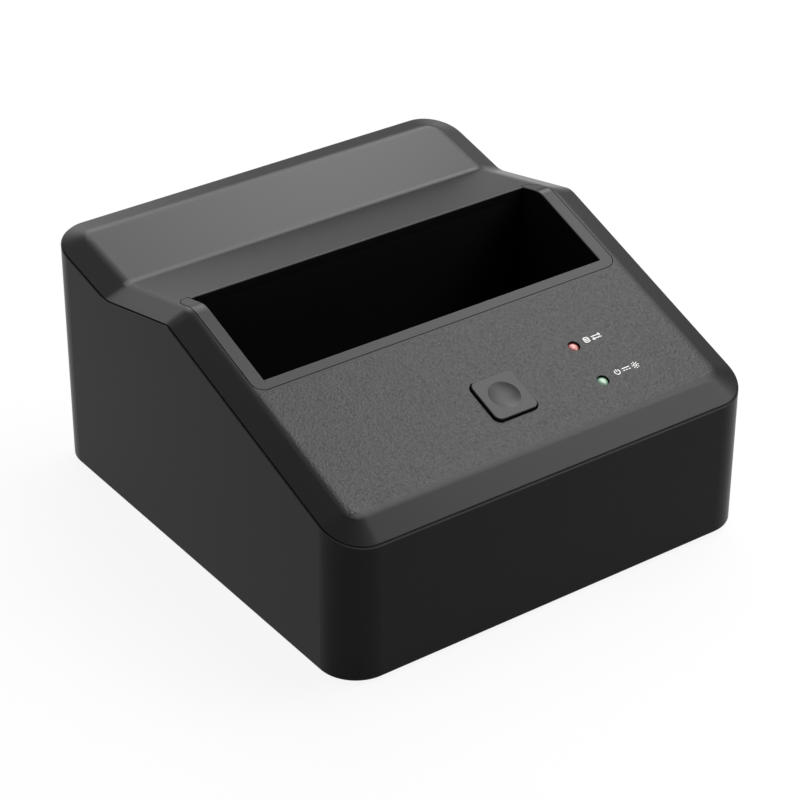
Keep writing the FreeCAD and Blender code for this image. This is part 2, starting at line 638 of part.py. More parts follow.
def usb_opening(name, gap, y):
    """Prism of the stepped socket opening, drawn smaller by a gap."""
    body = doc.addObject("PartDesign::Body", name)
    low_left, low_right = about("usb_x", f"usb_low_width / 2 - {gap}")
    top_left, top_right = about("usb_x", f"usb_top_width / 2 - {gap}")
    base = f"usb_base + {gap}"
    shoulder = f"usb_base + usb_low_height - {gap}"
    top = f"{shoulder} + usb_top_height"
    corners = [(low_left, base), (low_right, base), (low_right, shoulder), (top_right, shoulder),
               (top_right, top), (top_left, top), (top_left, shoulder), (low_left, shoulder)]
    sketch = outline(sketch_on(body, "XZ_Plane", f"-({y[1]})"), corners)
    pad(body, sketch, f"({y[1]}) - ({y[0]})")
    return body


def usb_socket_shell():
    """Metal shell of the data socket, open from face to back."""
    back = "socket_face_y - usb_depth"
    shell = rounded_block("usb_shell_block", about("usb_x", "usb_width / 2"), (back, "socket_face_y"),
                          ("board_top", "board_top + usb_height"), "usb_shell")
    bore = usb_opening("usb_bore", "0", (f"{back} - wall", "socket_face_y + wall"))
    return cut("usb_socket_shell", shell, bore)


def usb_socket_insulator():
    """Moulded core of the data socket with its main and fine tongues."""
    back = "socket_face_y - usb_depth"
    core = usb_opening("usb_core", "usb_inner_gap", (back, f"{back} + usb_back"))
    reach_y = (f"{back} + usb_back - usb_shell", f"{back} + usb_back + usb_tongue_length")
    tongue = block("usb_tongue", about("usb_x", "usb_tongue_width / 2"), reach_y,
                   about("usb_base + usb_low_height / 2", "usb_tongue_height / 2"))
    fine_tongue = block("usb_fine_tongue_bar", about("usb_x", "usb_tongue_width / 2 - usb_shell"), reach_y,
                        about("usb_base + usb_low_height + usb_top_height / 2", "usb_fine_tongue / 2"))
    return fuse("usb_socket_insulator", core, tongue, fine_tongue)


def lying_rod(name, radius, x, z, y):
    """Cylinder along the depth of the case."""
    item = doc.addObject("Part::Cylinder", name)
    item.Placement = Placement(Vector(), Rotation(Vector(1, 0, 0), -90))
    bind(item, Radius=radius, Height=f"({y[1]}) - ({y[0]})")
    return bind(item, Placement__Base__x=x, Placement__Base__y=y[0], Placement__Base__z=z)


def dc_jack_body():
    """Moulded power jack with a round bore and a seat for its centre pin."""
    shell = rounded_block("jack_block", about("jack_x", "jack_width / 2"),
                          ("socket_face_y - jack_depth", "socket_face_y"),
                          ("board_top", "board_top + jack_height"), "usb_shell")
    bore_end = "socket_face_y - jack_bore_depth"
    bore = lying_rod("jack_bore_rod", "jack_bore", "jack_x", "jack_axis_z",
                     (bore_end, "socket_face_y + wall"))
    seat = lying_rod("jack_pin_seat", "jack_pin + jack_pin_gap", "jack_x", "jack_axis_z",
                     (f"{bore_end} - jack_pin_root", f"{bore_end} + wall"))
    return cut("dc_jack_body", shell, bore, seat)


def dc_jack_pin():
    """Centre pin, rooted in the end of the jack's bore."""
    start = "socket_face_y - jack_bore_depth - jack_pin_root"
    return lying_rod("dc_jack_pin", "jack_pin", "jack_x", "jack_axis_z",
                     (start, f"{start} + jack_pin_root + jack_pin_length"))


def bridge_chip():
    """Flat square package between the sockets."""
    return block("bridge_chip", about("0", "chip_size / 2"),
                 ("board_rear_y - 3 * chip_size", "board_rear_y - 2 * chip_size"),
                 ("board_top", "board_top + chip_height"))


def filter_capacitors():
    """Upright cans on square bases, two beside the power jack and one beside the data socket."""
    places = [("jack_x + 2 * can_base", "board_rear_y - jack_depth"),
              ("jack_x + 2 * can_base", "board_rear_y - jack_depth - can_pitch"),
              ("usb_x - 2 * can_base", "board_rear_y - usb_depth")]
    cans = []
    for i, (x, y) in enumerate(places):
        base = block(f"can_base_{i}", about(x, "can_base / 2"), about(y, "can_base / 2"),
                     ("board_top", "board_top + can_base_height"))
        barrel = rod(f"can_rod_{i}", "can_radius", (x, y), ("board_top", "board_top + can_height"))
        cans.append(fuse(f"can_{i}", base, barrel))
    return group("filter_capacitors", *cans)


def power_inductors():
    """Square coils in front of the power jack."""
    near = "board_rear_y - jack_depth - 2 * coil_size"
    coils = [rounded_block(f"coil_{i}", about(f"jack_x + {side} * coil_size", "coil_size / 2"),
                           (f"{near} - coil_size", near), ("board_top", "board_top + coil_height"),
                           "board_corner / 2") for i, side in enumerate((-1, 1))]
    return group("power_inductors", *coils)


def crystal_can():
    """Low oval can beside the bridge chip."""
    near = "board_rear_y - 3 * chip_size"
    return rounded_block("crystal_can", ("-chip_size * 2 - crystal_length", "-chip_size * 2"),
                         (near, f"{near} + crystal_width"), ("board_top", "board_top + crystal_height"),
                         "crystal_width / 2 - usb_inner_gap")


# Front panel, drawn flat and laid on the slope

def power_button():
    """Square cap with a finger dish, a retaining flange under the cover and a stem for the switch."""
    flange_top = "-cover_thickness - flange_gap"
    flange_low = f"{flange_top} - flange_thickness"
    cap = rounded_block("button_cap", about("0", "button_half"), about("button_along", "button_half"),
                        (flange_low, "button_proud"), "button_corner")
    fillet(cap, "button_edge", lambda edge: edge.BoundBox.ZMin > worth("button_proud") - TOUCH)
    flange = rounded_block("button_flange", about("0", "flange_half"), about("button_along", "flange_half"),
                           (flange_low, flange_top), "button_corner")
    inside = "button_half - button_wall"
    hollow = block("button_hollow", about("0", inside), about("button_along", inside),
                   (f"{flange_low} - wall", "button_proud - button_crown"))
    dish = doc.addObject("Part::Sphere", "button_dish")
    ball = "(dish_radius * dish_radius + dish_depth * dish_depth) / (2 * dish_depth)"
    bind(dish, Radius=ball, Placement__Base__y="button_along",
         Placement__Base__z=f"button_proud - dish_depth + {ball}")
    stem = rod("button_stem", "stem_radius", ("0", "button_along"),
               ("-stem_end", "button_proud - button_crown / 2"))
    crown = cut("button_crown_form", fuse("button_solid", cap, flange), hollow, dish)
    return on_panel(fuse("power_button", crown, cut("button_stem_trim", stem, dish)))


def switch_body():
    """Square switch case with a window for its plunger."""
    half = "switch_size / 2"
    shell = block("switch_case", about("0", half), about("button_along", half),
                  ("-panel_depth", "-switch_top"))
    room = f"{half} - switch_wall"
    cavity = block("switch_room", about("0", room), about("button_along", room),
                   ("switch_wall - panel_depth", "-switch_top - switch_wall"))
    open_half = "plunger_half + plunger_gap"
    window = block("switch_window", about("0", open_half), about("button_along", open_half),
                   ("-switch_top - 2 * switch_wall", "wall - switch_top"))
    return on_panel(cut("switch_body", shell, cavity, window))


def switch_plunger():
    """Square plunger with a rim that keeps it in the switch."""
    rim_top = "-switch_top - switch_wall - spring_gap"
    rim_low = f"{rim_top} - plunger_rim_height"
    stem = block("plunger_stem", about("0", "plunger_half"), about("button_along", "plunger_half"),
                 (rim_low, "-stem_end"))
    rim = block("plunger_rim_plate", about("0", "plunger_rim"), about("button_along", "plunger_rim"),
                (rim_low, rim_top))
    return on_panel(fuse("switch_plunger", stem, rim))


def switch_spring():
    """Coil spring between the plunger's rim and the floor of the switch."""
    low = "switch_wall - panel_depth + spring_wire + spring_gap"
    high = "-switch_top - switch_wall - plunger_rim_height - spring_wire - 2 * spring_gap"
    path = doc.addObject("Part::Helix", "spring_path")
    bind(path, Height=f"{high} - ({low})", Pitch=f"({high} - ({low})) / spring_turns",
         Radius="spring_radius", Placement__Base__y="button_along", Placement__Base__z=low)
    wire = doc.addObject("Part::Circle", "spring_wire_section")
    wire.Placement = Placement(Vector(), Rotation(Vector(1, 0, 0), 90))
    bind(wire, Radius="spring_wire", Placement__Base__x="spring_radius", Placement__Base__y="button_along",
         Placement__Base__z=low)
    doc.recompute()
    coil = doc.addObject("Part::Sweep", "switch_spring")
    coil.Sections = [wire]
    coil.Spine = (path, [f"Edge{i}" for i in range(1, len(path.Shape.Edges) + 1)])
    coil.Solid = True
    coil.Frenet = True
    return on_panel(coil)


def lamp(name, along):
    """Lamp with a domed lens and a rim at its base."""
    dome = doc.addObject("Part::Sphere", name + "_dome")
    bind(dome, Radius="lamp_dome", Placement__Base__x="lamp_x", Placement__Base__y=along,
         Placement__Base__z="-lamp_set_back - lamp_dome")
    lens_rod = rod(name + "_lens_rod", "lamp_radius", ("lamp_x", along),
                   ("-lamp_set_back - lamp_dome", "-lamp_set_back"))
    lens = common(name + "_lens", lens_rod, dome)
    barrel = rod(name + "_barrel", "lamp_radius", ("lamp_x", along),
                 ("-lamp_base", "-lamp_set_back - lamp_dome"))
    rim = rod(name + "_rim", "lamp_radius + lamp_rim_reach", ("lamp_x", along),
              ("-lamp_base", "lamp_rim_height - lamp_base"))
    return on_panel(fuse(name, lens, barrel, rim))


def lead_places():
    """Places of the four lamp leads, on the panel."""
    return [(f"lamp_x + {side} * lead_pitch / 2", along) for _, along in lamps() for side in (-1, 1)]


def lamp_leads():
    """Square wires from each lamp down through the panel board."""
    lead_z = ("-panel_back - lead_below", "-lamp_base")
    leads = [block(f"lead_{i}", about(x, "lead_half"), about(y, "lead_half"), lead_z)
             for i, (x, y) in enumerate(lead_places())]
    return on_panel(group("lamp_leads", *leads))


def panel_board():
    """Small board that hangs under the front panel and carries the switch and the lamps."""
    board = rounded_block("panel_plate", ("-panel_left", "panel_right"), ("panel_low", "panel_high"),
                          ("-panel_back", "-panel_depth"), "board_corner")
    through = ("-panel_back - wall", "wall - panel_depth")
    holes = [rod(f"panel_hole_{i}", "panel_screw_clear", place, through)
             for i, place in enumerate(panel_posts())]
    holes += [rod(f"lead_hole_{i}", "lead_hole", place, through) for i, place in enumerate(lead_places())]
    return on_panel(cut("panel_board", board, *holes))


# Lead between the boards

def header_shroud(name, spans, mouth):
    """Connector shroud: an outer box less the room for its plug, open towards the low face of one axis."""
    room = {axis: (f"{low} + header_wall", f"{high} - header_wall") for axis, (low, high) in spans.items()}
    room[mouth] = (f"{spans[mouth][0]} - wall", room[mouth][1])
    return cut(name, block(name + "_outer", **spans), block(name + "_room", **room))


def plug_block(name, spans, mouth):
    """Plug that fills a shroud with a small gap and stands out of its mouth."""
    inset = "header_wall + plug_gap"
    body = {axis: (f"{low} + {inset}", f"{high} - ({inset})") for axis, (low, high) in spans.items()}
    face = spans[mouth][0]
    body[mouth] = (f"{face} - plug_outside", f"{face} + plug_inside")
    return block(name, **body)


def main_header_box():
    """Spans of the main board's shroud, and the axis that its mouth faces down."""
    near = "board_front_y + header_wall"
    return {"x": about("plug_x", "plug_width / 2"), "y": (near, f"{near} + header_depth"),
            "z": ("board_top", "board_top + header_height")}, "y"


def panel_header_box():
    """Spans of the panel board's shroud, drawn flat, and the axis that its mouth faces down."""
    return {"x": about("plug_x", "plug_width / 2"), "y": about("plug_along", "header_depth / 2"),
            "z": ("-panel_back - header_height", "-panel_back")}, "z"


def panel_cable():
    """Wires that drop from the panel's plug and bend back into the main board's plug."""
    slope = math.radians(worth("slope_angle"))
    along = worth("plug_along")
    depth = worth("panel_back + header_height + plug_outside")
    start_y = worth("-half_depth") + along * math.cos(slope) + depth * math.sin(slope)
    start_z = worth("panel_edge_z") + along * math.sin(slope) - depth * math.cos(slope)
    end_y = worth("board_front_y + header_wall - plug_outside")
    end_z = worth("header_z")
    corner_y = start_y + (start_z - end_z) * math.tan(slope)
    shorter_run = min((start_z - end_z) / math.cos(slope), end_y - corner_y)
    turn = math.radians(90) - slope
    bend = min(worth("wire_bend"), worth("bend_share") * shorter_run / math.tan(turn / 2))
    tangent = bend * math.tan(turn / 2)
    radius = worth("wire_radius")
    wires = []
    for i in range(WIRES):
        x = worth(f"plug_x + {i - (WIRES - 1) / 2} * wire_pitch")
        start = Vector(x, start_y, start_z)
        corner = Vector(x, corner_y, end_z)
        end = Vector(x, end_y, end_z)
        drop = (corner - start).normalize()
        away = (end - corner).normalize()
        first = corner - drop * tangent
        last = corner + away * tangent
        inward = (away - drop).normalize()
        middle = corner + inward * (bend / math.cos(turn / 2) - bend)
        runs = [Part.LineSegment(start, first), Part.Arc(first, middle, last), Part.LineSegment(last, end)]
        route = Part.Wire([run.toShape() for run in runs])
        section = Part.Wire([Part.Circle(start, drop, radius).toShape()])
        wires.append(route.makePipeShell([section], True, False))
        print("cable wire", i, "bend radius", bend, "length", round(route.Length, 2))
    item = doc.addObject("Part::Feature", "panel_cable")
    item.Shape = Part.makeCompound(wires)
    item.Placement = Placement()
    return item


# Feet and screws

def screw(name, kind, place, seat, down):
    """Pan-head screw of a kind at a seat: its shank runs down from the seat, or up from it."""
    length = f"{kind}_screw_length"
    height = f"{kind}_head_height"
    head_z = (seat, f"{seat} + {height}") if down else (f"{seat} - {height}", seat)
    shank_z = (f"{seat} - {length}", seat) if down else (seat, f"{seat} + {length}")
    return fuse(name, rod(name + "_head", f"{kind}_head_radius", place, head_z),
                rod(name + "_shank", f"{kind}_screw_radius", place, shank_z))


def case_screws():
    """Screws that hold the cover from below, through the housing's posts."""
    screws = [screw(f"case_screw_{i}", "case", (x, y), f"{top} - post_web", down=False)
              for i, (x, y, top) in enumerate(POSTS)]
    return group("case_screws", *screws)


def board_screws():
    """Screws that hold the main board to its standoffs."""
    screws = [screw(f"board_screw_{i}", "board", place, "board_top", down=True)
              for i, place in enumerate(board_holes())]
    return group("board_screws", *screws)


def panel_screws():
    """Screws that hold the panel board to the cover's posts."""
    screws = [screw(f"panel_screw_{i}", "panel", place, "-panel_back", down=False)
              for i, place in enumerate(panel_posts())]
    return on_panel(group("panel_screws", *screws))


def rubber_feet():
    """Round feet in shallow seats, each with a soft lower edge."""
    feet = []
    for i, (side, end) in enumerate(CORNERS):
        disc = rod(f"foot_disc_{i}", "foot_radius", ("0", "0"), ("0", "foot_proud + foot_recess"))
        foot = softened(f"foot_{i}", disc, "foot_round", lambda edge: edge.BoundBox.ZMax < TOUCH)
        feet.append(bind(foot, Placement__Base__x=f"{side} * foot_x", Placement__Base__y=f"{end} * foot_y"))
    return group("rubber_feet", *feet)


PARTS = [lower_housing(), top_cover(), drive_bay_liner(), sata_receptacle(), sata_contacts(), main_board(),
         usb_socket_shell(), usb_socket_insulator(), dc_jack_body(), dc_jack_pin(), bridge_chip(),
         filter_capacitors(), power_inductors(), crystal_can(), power_button(), switch_body(),
         switch_plunger(), switch_spring(), lamp("data_lamp", "data_lamp_along"),
         lamp("power_lamp", "power_lamp_along"), lamp_leads(), panel_board(),
         header_shroud("main_header", *main_header_box()),
         on_panel(header_shroud("panel_header", *panel_header_box())),
         plug_block("main_plug", *main_header_box()),
         on_panel(group("panel_plug", plug_block("panel_plug_block", *panel_header_box()))),
         panel_cable(), case_screws(), board_screws(), panel_screws(), rubber_feet()]
doc.recompute()

for item in doc.Objects:
    if "Invalid" in item.State or "Error" in item.State:
        raise RuntimeError(f"{item.Label} did not build: {item.State}")
for item in PARTS:
    if item.Shape.isNull() or not item.Shape.isValid() or not item.Shape.Solids:
        raise RuntimeError(f"{item.Label} has no valid solid")

os.makedirs("parts", exist_ok=True)
for item in PARTS:
    item.Shape.exportStep(f"parts/{item.Label}.step")
    print(item.Label, len(item.Shape.Solids), "solids", round(item.Shape.Volume, 1), "mm3")
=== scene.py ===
# %% [markdown]
# # A desktop drive dock, finished in Blender
# The dock is a black moulded tub under a wedge-shaped cover. A bare drive plugs into the slot in its
# top, a square button and two lamps sit on the sloping front panel, and two sockets face the rear. The
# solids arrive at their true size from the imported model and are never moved. This lesson gives each one
# its finish, adds the screws, the socket contacts, the spring under the button and the printed signs,
# and lights the whole like a product shot.

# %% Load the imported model
import json
import math

import bpy
from mathutils import Matrix, Quaternion, Vector


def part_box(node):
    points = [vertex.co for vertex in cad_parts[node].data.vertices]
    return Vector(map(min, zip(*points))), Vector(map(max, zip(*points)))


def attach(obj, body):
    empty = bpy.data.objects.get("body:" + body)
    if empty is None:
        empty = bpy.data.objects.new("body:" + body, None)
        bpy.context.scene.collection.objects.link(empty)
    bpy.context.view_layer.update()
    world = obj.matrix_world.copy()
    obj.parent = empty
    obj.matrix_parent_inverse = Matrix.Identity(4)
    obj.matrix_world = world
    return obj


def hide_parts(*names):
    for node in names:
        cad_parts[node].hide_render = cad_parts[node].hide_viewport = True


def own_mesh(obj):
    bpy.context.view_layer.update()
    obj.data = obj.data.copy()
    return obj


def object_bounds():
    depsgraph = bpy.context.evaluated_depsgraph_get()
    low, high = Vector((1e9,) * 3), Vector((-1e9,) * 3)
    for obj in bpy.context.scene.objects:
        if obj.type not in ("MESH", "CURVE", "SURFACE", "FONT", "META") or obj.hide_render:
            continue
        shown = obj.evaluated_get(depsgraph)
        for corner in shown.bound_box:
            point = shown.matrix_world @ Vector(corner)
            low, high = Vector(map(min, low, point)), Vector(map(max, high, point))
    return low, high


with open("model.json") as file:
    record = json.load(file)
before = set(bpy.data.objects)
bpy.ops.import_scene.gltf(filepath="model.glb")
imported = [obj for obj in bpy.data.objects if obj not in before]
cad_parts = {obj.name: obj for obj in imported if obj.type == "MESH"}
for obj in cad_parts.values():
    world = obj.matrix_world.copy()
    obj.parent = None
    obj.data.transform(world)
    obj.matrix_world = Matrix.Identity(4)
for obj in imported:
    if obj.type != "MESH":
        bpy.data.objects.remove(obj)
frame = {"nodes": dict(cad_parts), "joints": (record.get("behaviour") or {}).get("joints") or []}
cad_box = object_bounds()
nodes = frame["nodes"]
button_joint = frame["joints"][0]
scene = bpy.context.scene
MM = 0.001


def in_mm(values, digits=2):
    """Lengths in millimetres, rounded for printing."""
    return [round(value / MM, digits) for value in values]


print("loaded", len(nodes), "nodes between", in_mm(cad_box[0]), "and", in_mm(cad_box[1]))

# %% [markdown]
# ## The camera
# The photograph was matched edge by edge, which gives one viewpoint: to the front and left of the dock,
# about 31 degrees up, with a long lens and a very small tilt of the camera about its own axis. A short
# lens close by would splay the sides; a long one far away keeps them nearly parallel.

# %% Camera
AIM = Vector((0.80, -0.58, 26.10)) * MM
DISTANCE = 709.4 * MM
AZIMUTH = math.radians(-36.011)
ELEVATION = math.radians(31.387)
ROLL = math.radians(0.276)
LENS_MM = 123.14
SENSOR_MM = 36.0


def toward(azimuth, elevation):
    """Direction from the dock to a place round it; azimuth 0 is the front, to the right is positive."""
    level = math.cos(elevation)
    return Vector((math.sin(azimuth) * level, -math.cos(azimuth) * level, math.sin(elevation)))


def aim(thing, target, away, distance):
    """Stand a camera or a lamp at a distance from a target, turned to face it."""
    thing.rotation_mode = "QUATERNION"
    thing.location = target + away * distance
    thing.rotation_quaternion = (-away).to_track_quat("-Z", "Y")
    scene.collection.objects.link(thing)


camera_data = bpy.data.cameras.new("camera")
camera_data.sensor_width = SENSOR_MM
camera_data.lens = LENS_MM
camera = bpy.data.objects.new("camera", camera_data)
aim(camera, AIM, toward(AZIMUTH, ELEVATION), DISTANCE)
camera.rotation_quaternion = camera.rotation_quaternion @ Quaternion((0, 0, 1), ROLL)
scene.camera = camera
print("camera stands at", in_mm(camera.location, 0), "mm")

# %% [markdown]
# ## The front panel's own frame
# The button, the lamps and the printed signs belong to the sloping panel, so it helps to have its frame:
# x runs across, y runs up the slope from the front edge, z points out of the plastic. The angle could be
# typed in, but the button slides square into the panel, so its joint gives the slope, and the top of its
# cap gives the panel's level.

# %% Panel frame
BUTTON_PROUD = 0.75 * MM
CASE_HALF_WIDTH = cad_box[1].x
CASE_HALF_DEPTH = cad_box[1].y
panel_out = -Vector(button_joint["axis"]).normalized()
panel_up = panel_out.cross(Vector((1, 0, 0)))


def node_points(name):
    """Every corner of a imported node's mesh."""
    return [vertex.co for vertex in nodes[name].data.vertices]


def extent(points):
    """Lowest and highest corner of the box round some points."""
    spans = list(zip(*points))
    return Vector([min(span) for span in spans]), Vector([max(span) for span in spans])


panel_level = max(point.dot(panel_out) for point in node_points("power_button")) - BUTTON_PROUD
front_height = (panel_level + CASE_HALF_DEPTH * panel_out.y) / panel_out.z
panel_axes = Matrix(((1, 0, 0), panel_up, panel_out)).transposed()
PANEL = Matrix.Translation(Vector((0, -CASE_HALF_DEPTH, front_height))) @ panel_axes.to_4x4()


def panel_extent(name):
    """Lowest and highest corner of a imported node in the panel's frame."""
    return extent([PANEL.inverted() @ point for point in node_points(name)])


def lamp_middle(name):
    """Middle of a lamp on the panel's plane, in the panel's frame."""
    low, high = panel_extent(name)
    return Vector(((low.x + high.x) / 2, (low.y + high.y) / 2, 0))


lamp_middles = {name: lamp_middle(name) for name in ("data_lamp", "power_lamp")}
print("panel rises", round(math.degrees(math.asin(panel_up.z)), 2), "degrees; lamps at",
      {name: in_mm(place) for name, place in lamp_middles.items()})

# %% [markdown]
# ## Small tools for materials
# Colours are picked as sRGB hex values, the way a paint chart gives them, and Blender's shaders want
# linear light, so one function converts. A second adds a node with its settings and links, and a third
# wraps a recipe in a material, so that each finish below reads as a few steps. Patterns are sized in
# millimetres. Many finishes drift between two colours in soft patches; noise draws these, because it
# needs no image and never repeats.

# %% Colour and node helpers
def linear(hex_colour):
    """Linear colour with full alpha from an sRGB hex value."""
    shares = [int(hex_colour[i:i + 2], 16) / 255 for i in (1, 3, 5)]
    return [s / 12.92 if s <= 0.04045 else ((s + 0.055) / 1.055) ** 2.4 for s in shares] + [1.0]


def add(tree, kind, inputs=None, **settings):
    """Add a node: settings are its properties, inputs are values or sockets by name or number."""
    node = tree.nodes.new(kind)
    for key, value in settings.items():
        setattr(node, key, value)
    for key, value in (inputs or {}).items():
        if isinstance(value, bpy.types.NodeSocket):
            tree.links.new(value, node.inputs[key])
        else:
            node.inputs[key].default_value = value
    return node


def new_material(name, recipe, *choices):
    """Material from a recipe, which takes a tree, Object coordinates and choices and gives a shader."""
    material = bpy.data.materials.new(name)
    material.use_nodes = True
    tree = material.node_tree
    tree.nodes.clear()
    place = add(tree, "ShaderNodeTexCoord").outputs["Object"]
    shader = recipe(tree, place, *choices)
    add(tree, "ShaderNodeOutputMaterial", {"Surface": shader.outputs[0]})
    print("made", material.name, "from", len(tree.nodes), "nodes")
    return material


def per_mm(size):
    """Texture scale whose features are about a size in millimetres."""
    return 1 / (size * MM)


def drifting(tree, place, patch_mm, colour, other):
    """Colour that drifts towards another in soft patches."""
    patch = add(tree, "ShaderNodeTexNoise", {"Vector": place, "Scale": per_mm(patch_mm), "Detail": 2.0})
    tint = add(tree, "ShaderNodeMix", {0: patch.outputs["Fac"], 6: linear(colour), 7: linear(other)},
               data_type="RGBA")
    return tint.outputs[2]


print("helpers ready; mid grey is", round(linear("#808080")[0], 3), "in linear light")

# %% [markdown]
# ## Moulded plastics
# ABS from a polished or finely spark-eroded mould is a soft black with a satin sheen. The eye sees three
# things: a base colour that drifts very slightly where the melt flowed, a sheen that is a little uneven,
# and a skin of tiny pits that spreads every highlight. Both the drift and the skin are noise, 25 mm and
# half a millimetre across; real pits are about ten times finer, too fine to show here. The same recipe,
# with other colours and sheens, gives the sockets, the switch and the nylon headers.

# %% Moulded plastics
FLOW_MM = 25
SKIN_MM = 0.5
SKIN_SPREAD = 0.03
PIT_DEPTH = 0.01 * MM
ABS_IOR = 1.53


def moulded_skin(tree, place):
    """Noise of a moulding's skin, and the normal that its tiny pits give."""
    skin = add(tree, "ShaderNodeTexNoise", {"Vector": place, "Scale": per_mm(SKIN_MM), "Detail": 2.0})
    pits = add(tree, "ShaderNodeBump", {
        "Height": skin.outputs["Fac"], "Strength": 0.3, "Distance": PIT_DEPTH})
    return skin.outputs["Fac"], pits.outputs[0]


def moulded_plastic(tree, place, colour, drift, roughness, specular):
    """Satin moulded plastic: slow drift in colour, uneven sheen and a fine skin."""
    skin, pits = moulded_skin(tree, place)
    sheen = add(tree, "ShaderNodeMapRange", {
        "Value": skin, "To Min": roughness - SKIN_SPREAD, "To Max": roughness + SKIN_SPREAD})
    return add(tree, "ShaderNodeBsdfPrincipled", {
        "Base Color": drifting(tree, place, FLOW_MM, colour, drift), "Roughness": sheen.outputs[0],
        "Normal": pits, "Specular IOR Level": specular, "IOR": ABS_IOR})


PLASTICS = {
    # name: colour, drift, roughness, specular level
    "black_satin_abs": ("#191919", "#1c1c1c", 0.3, 0.06),
    "black_satin_abs_cap": ("#151515", "#181818", 0.42, 0.285),
    "glass_filled_lcp": ("#151516", "#1b1b1c", 0.5, 0.4),
    "blue_moulded_pbt": ("#1d4f9e", "#2358a8", 0.38, 0.5),
    "black_moulded_nylon": ("#1c1c1c", "#232323", 0.55, 0.4),
    "white_moulded_acetal": ("#e4e2dc", "#eeece6", 0.4, 0.5),
    "natural_moulded_nylon": ("#ded7c4", "#e8e2d2", 0.45, 0.5),
}
for name, choices in PLASTICS.items():
    new_material(name, moulded_plastic, *choices)

# %% [markdown]
# ## The cover: one moulding, two skins
# The cover is a single moulding, but the mould maker etched a fine leather grain into the flat of the
# front panel and left the bevels, the ramp and the plateau smooth. A second material on picked faces
# would end the grain at a hard edge, so a mask made from Object coordinates keeps it on the panel, inside
# the bevels and in front of the slot's frame, and fades it out. Inside the mask, small rounded cells
# stand up between narrow valleys, as leather does. The tops of the cells came off the polished mould
# smoother, and the etched valleys are duller. Their colour is painted light and shade: the valleys are
# painted near-black as shade, and the tops of the cells a lighter grey, as light falls across the grain.
# The real cells are about half this size, too fine to show here, so they are drawn coarser.

# %% Grained cover
COVER_COLOUR = "#131313"
COVER_DRIFT = "#161616"
COVER_ROUGHNESS = 0.3
COVER_SPECULAR = 0.18
GRAIN_MARGIN = 6.8 * MM
GRAIN_FADE = 1.0 * MM
GRAIN_MM = 0.6
GRAIN_RELIEF = 0.05 * MM
GRAIN_SPREAD = 0.09
VALLEY_REACH = 0.75
PANEL_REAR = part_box("drive_bay_liner")[0].y


def inside(tree, value, low, high):
    """Mask that is 1 between two places and falls off over a short edge."""
    rise = add(tree, "ShaderNodeMapRange", {
        "Value": value, "From Min": low, "From Max": low + GRAIN_FADE})
    fall = add(tree, "ShaderNodeMapRange", {
        "Value": value, "From Min": high, "From Max": high - GRAIN_FADE})
    both = add(tree, "ShaderNodeMath", {0: rise.outputs[0], 1: fall.outputs[0]}, operation="MULTIPLY")
    return both.outputs[0]


def panel_mask(tree, place):
    """Mask that is 1 on the flat of the front panel."""
    axes = add(tree, "ShaderNodeSeparateXYZ", {0: place})
    flat_half = CASE_HALF_WIDTH - GRAIN_MARGIN
    across = inside(tree, axes.outputs["X"], -flat_half, flat_half)
    along = inside(tree, axes.outputs["Y"], GRAIN_MARGIN - CASE_HALF_DEPTH, PANEL_REAR)
    return add(tree, "ShaderNodeMath", {0: across, 1: along}, operation="MULTIPLY").outputs[0]


def grained_abs(tree, place, shaded_valley, lit_cell_top):
    """The cover's satin plastic, with a fine leather grain etched into the flat of the front panel,
    painted darker in its valleys as shade and lighter on its cell tops as light.
    """
    mask = panel_mask(tree, place)
    cells = add(tree, "ShaderNodeTexVoronoi", {"Vector": place, "Scale": per_mm(GRAIN_MM)},
                feature="SMOOTH_F1")
    domes = add(tree, "ShaderNodeMapRange", {
        "Value": cells.outputs["Distance"], "From Max": VALLEY_REACH, "To Min": 1.0, "To Max": 0.0})
    plain_tint = drifting(tree, place, FLOW_MM, COVER_COLOUR, COVER_DRIFT)
    # Painted light and shade: the grain's valleys are painted dark and the tops of its cells lighter.
    painted_grain_shade = add(tree, "ShaderNodeMix", {0: domes.outputs[0], 6: linear(shaded_valley), 7: linear(lit_cell_top)},
                     data_type="RGBA")
    tint = add(tree, "ShaderNodeMix", {0: mask, 6: plain_tint, 7: painted_grain_shade.outputs[2]},
               data_type="RGBA")
    skin, pits = moulded_skin(tree, place)
    plain_sheen = add(tree, "ShaderNodeMapRange", {
        "Value": skin, "To Min": COVER_ROUGHNESS - SKIN_SPREAD, "To Max": COVER_ROUGHNESS + SKIN_SPREAD})
    grain_sheen = add(tree, "ShaderNodeMapRange", {
        "Value": domes.outputs[0], "To Min": COVER_ROUGHNESS + GRAIN_SPREAD,
        "To Max": COVER_ROUGHNESS - GRAIN_SPREAD})
    sheen = add(tree, "ShaderNodeMix", {0: mask, 2: plain_sheen.outputs[0], 3: grain_sheen.outputs[0]})
    grain = add(tree, "ShaderNodeMath", {0: domes.outputs[0], 1: mask}, operation="MULTIPLY")
    leather = add(tree, "ShaderNodeBump", {
        "Height": grain.outputs[0], "Strength": 1.0, "Distance": GRAIN_RELIEF, "Normal": pits})
    return add(tree, "ShaderNodeBsdfPrincipled", {
        "Base Color": tint.outputs[2], "Roughness": sheen.outputs[0], "Normal": leather.outputs[0],
        "Specular IOR Level": COVER_SPECULAR, "IOR": ABS_IOR})


# The two colours are painted shade in the grain's valleys and painted light on its cell tops.
new_material("black_grained_abs", grained_abs, "#0a0a0a", "#282828")
print("grain lies in front of y =", in_mm([PANEL_REAR], 1), "mm in cells of", GRAIN_MM, "mm")

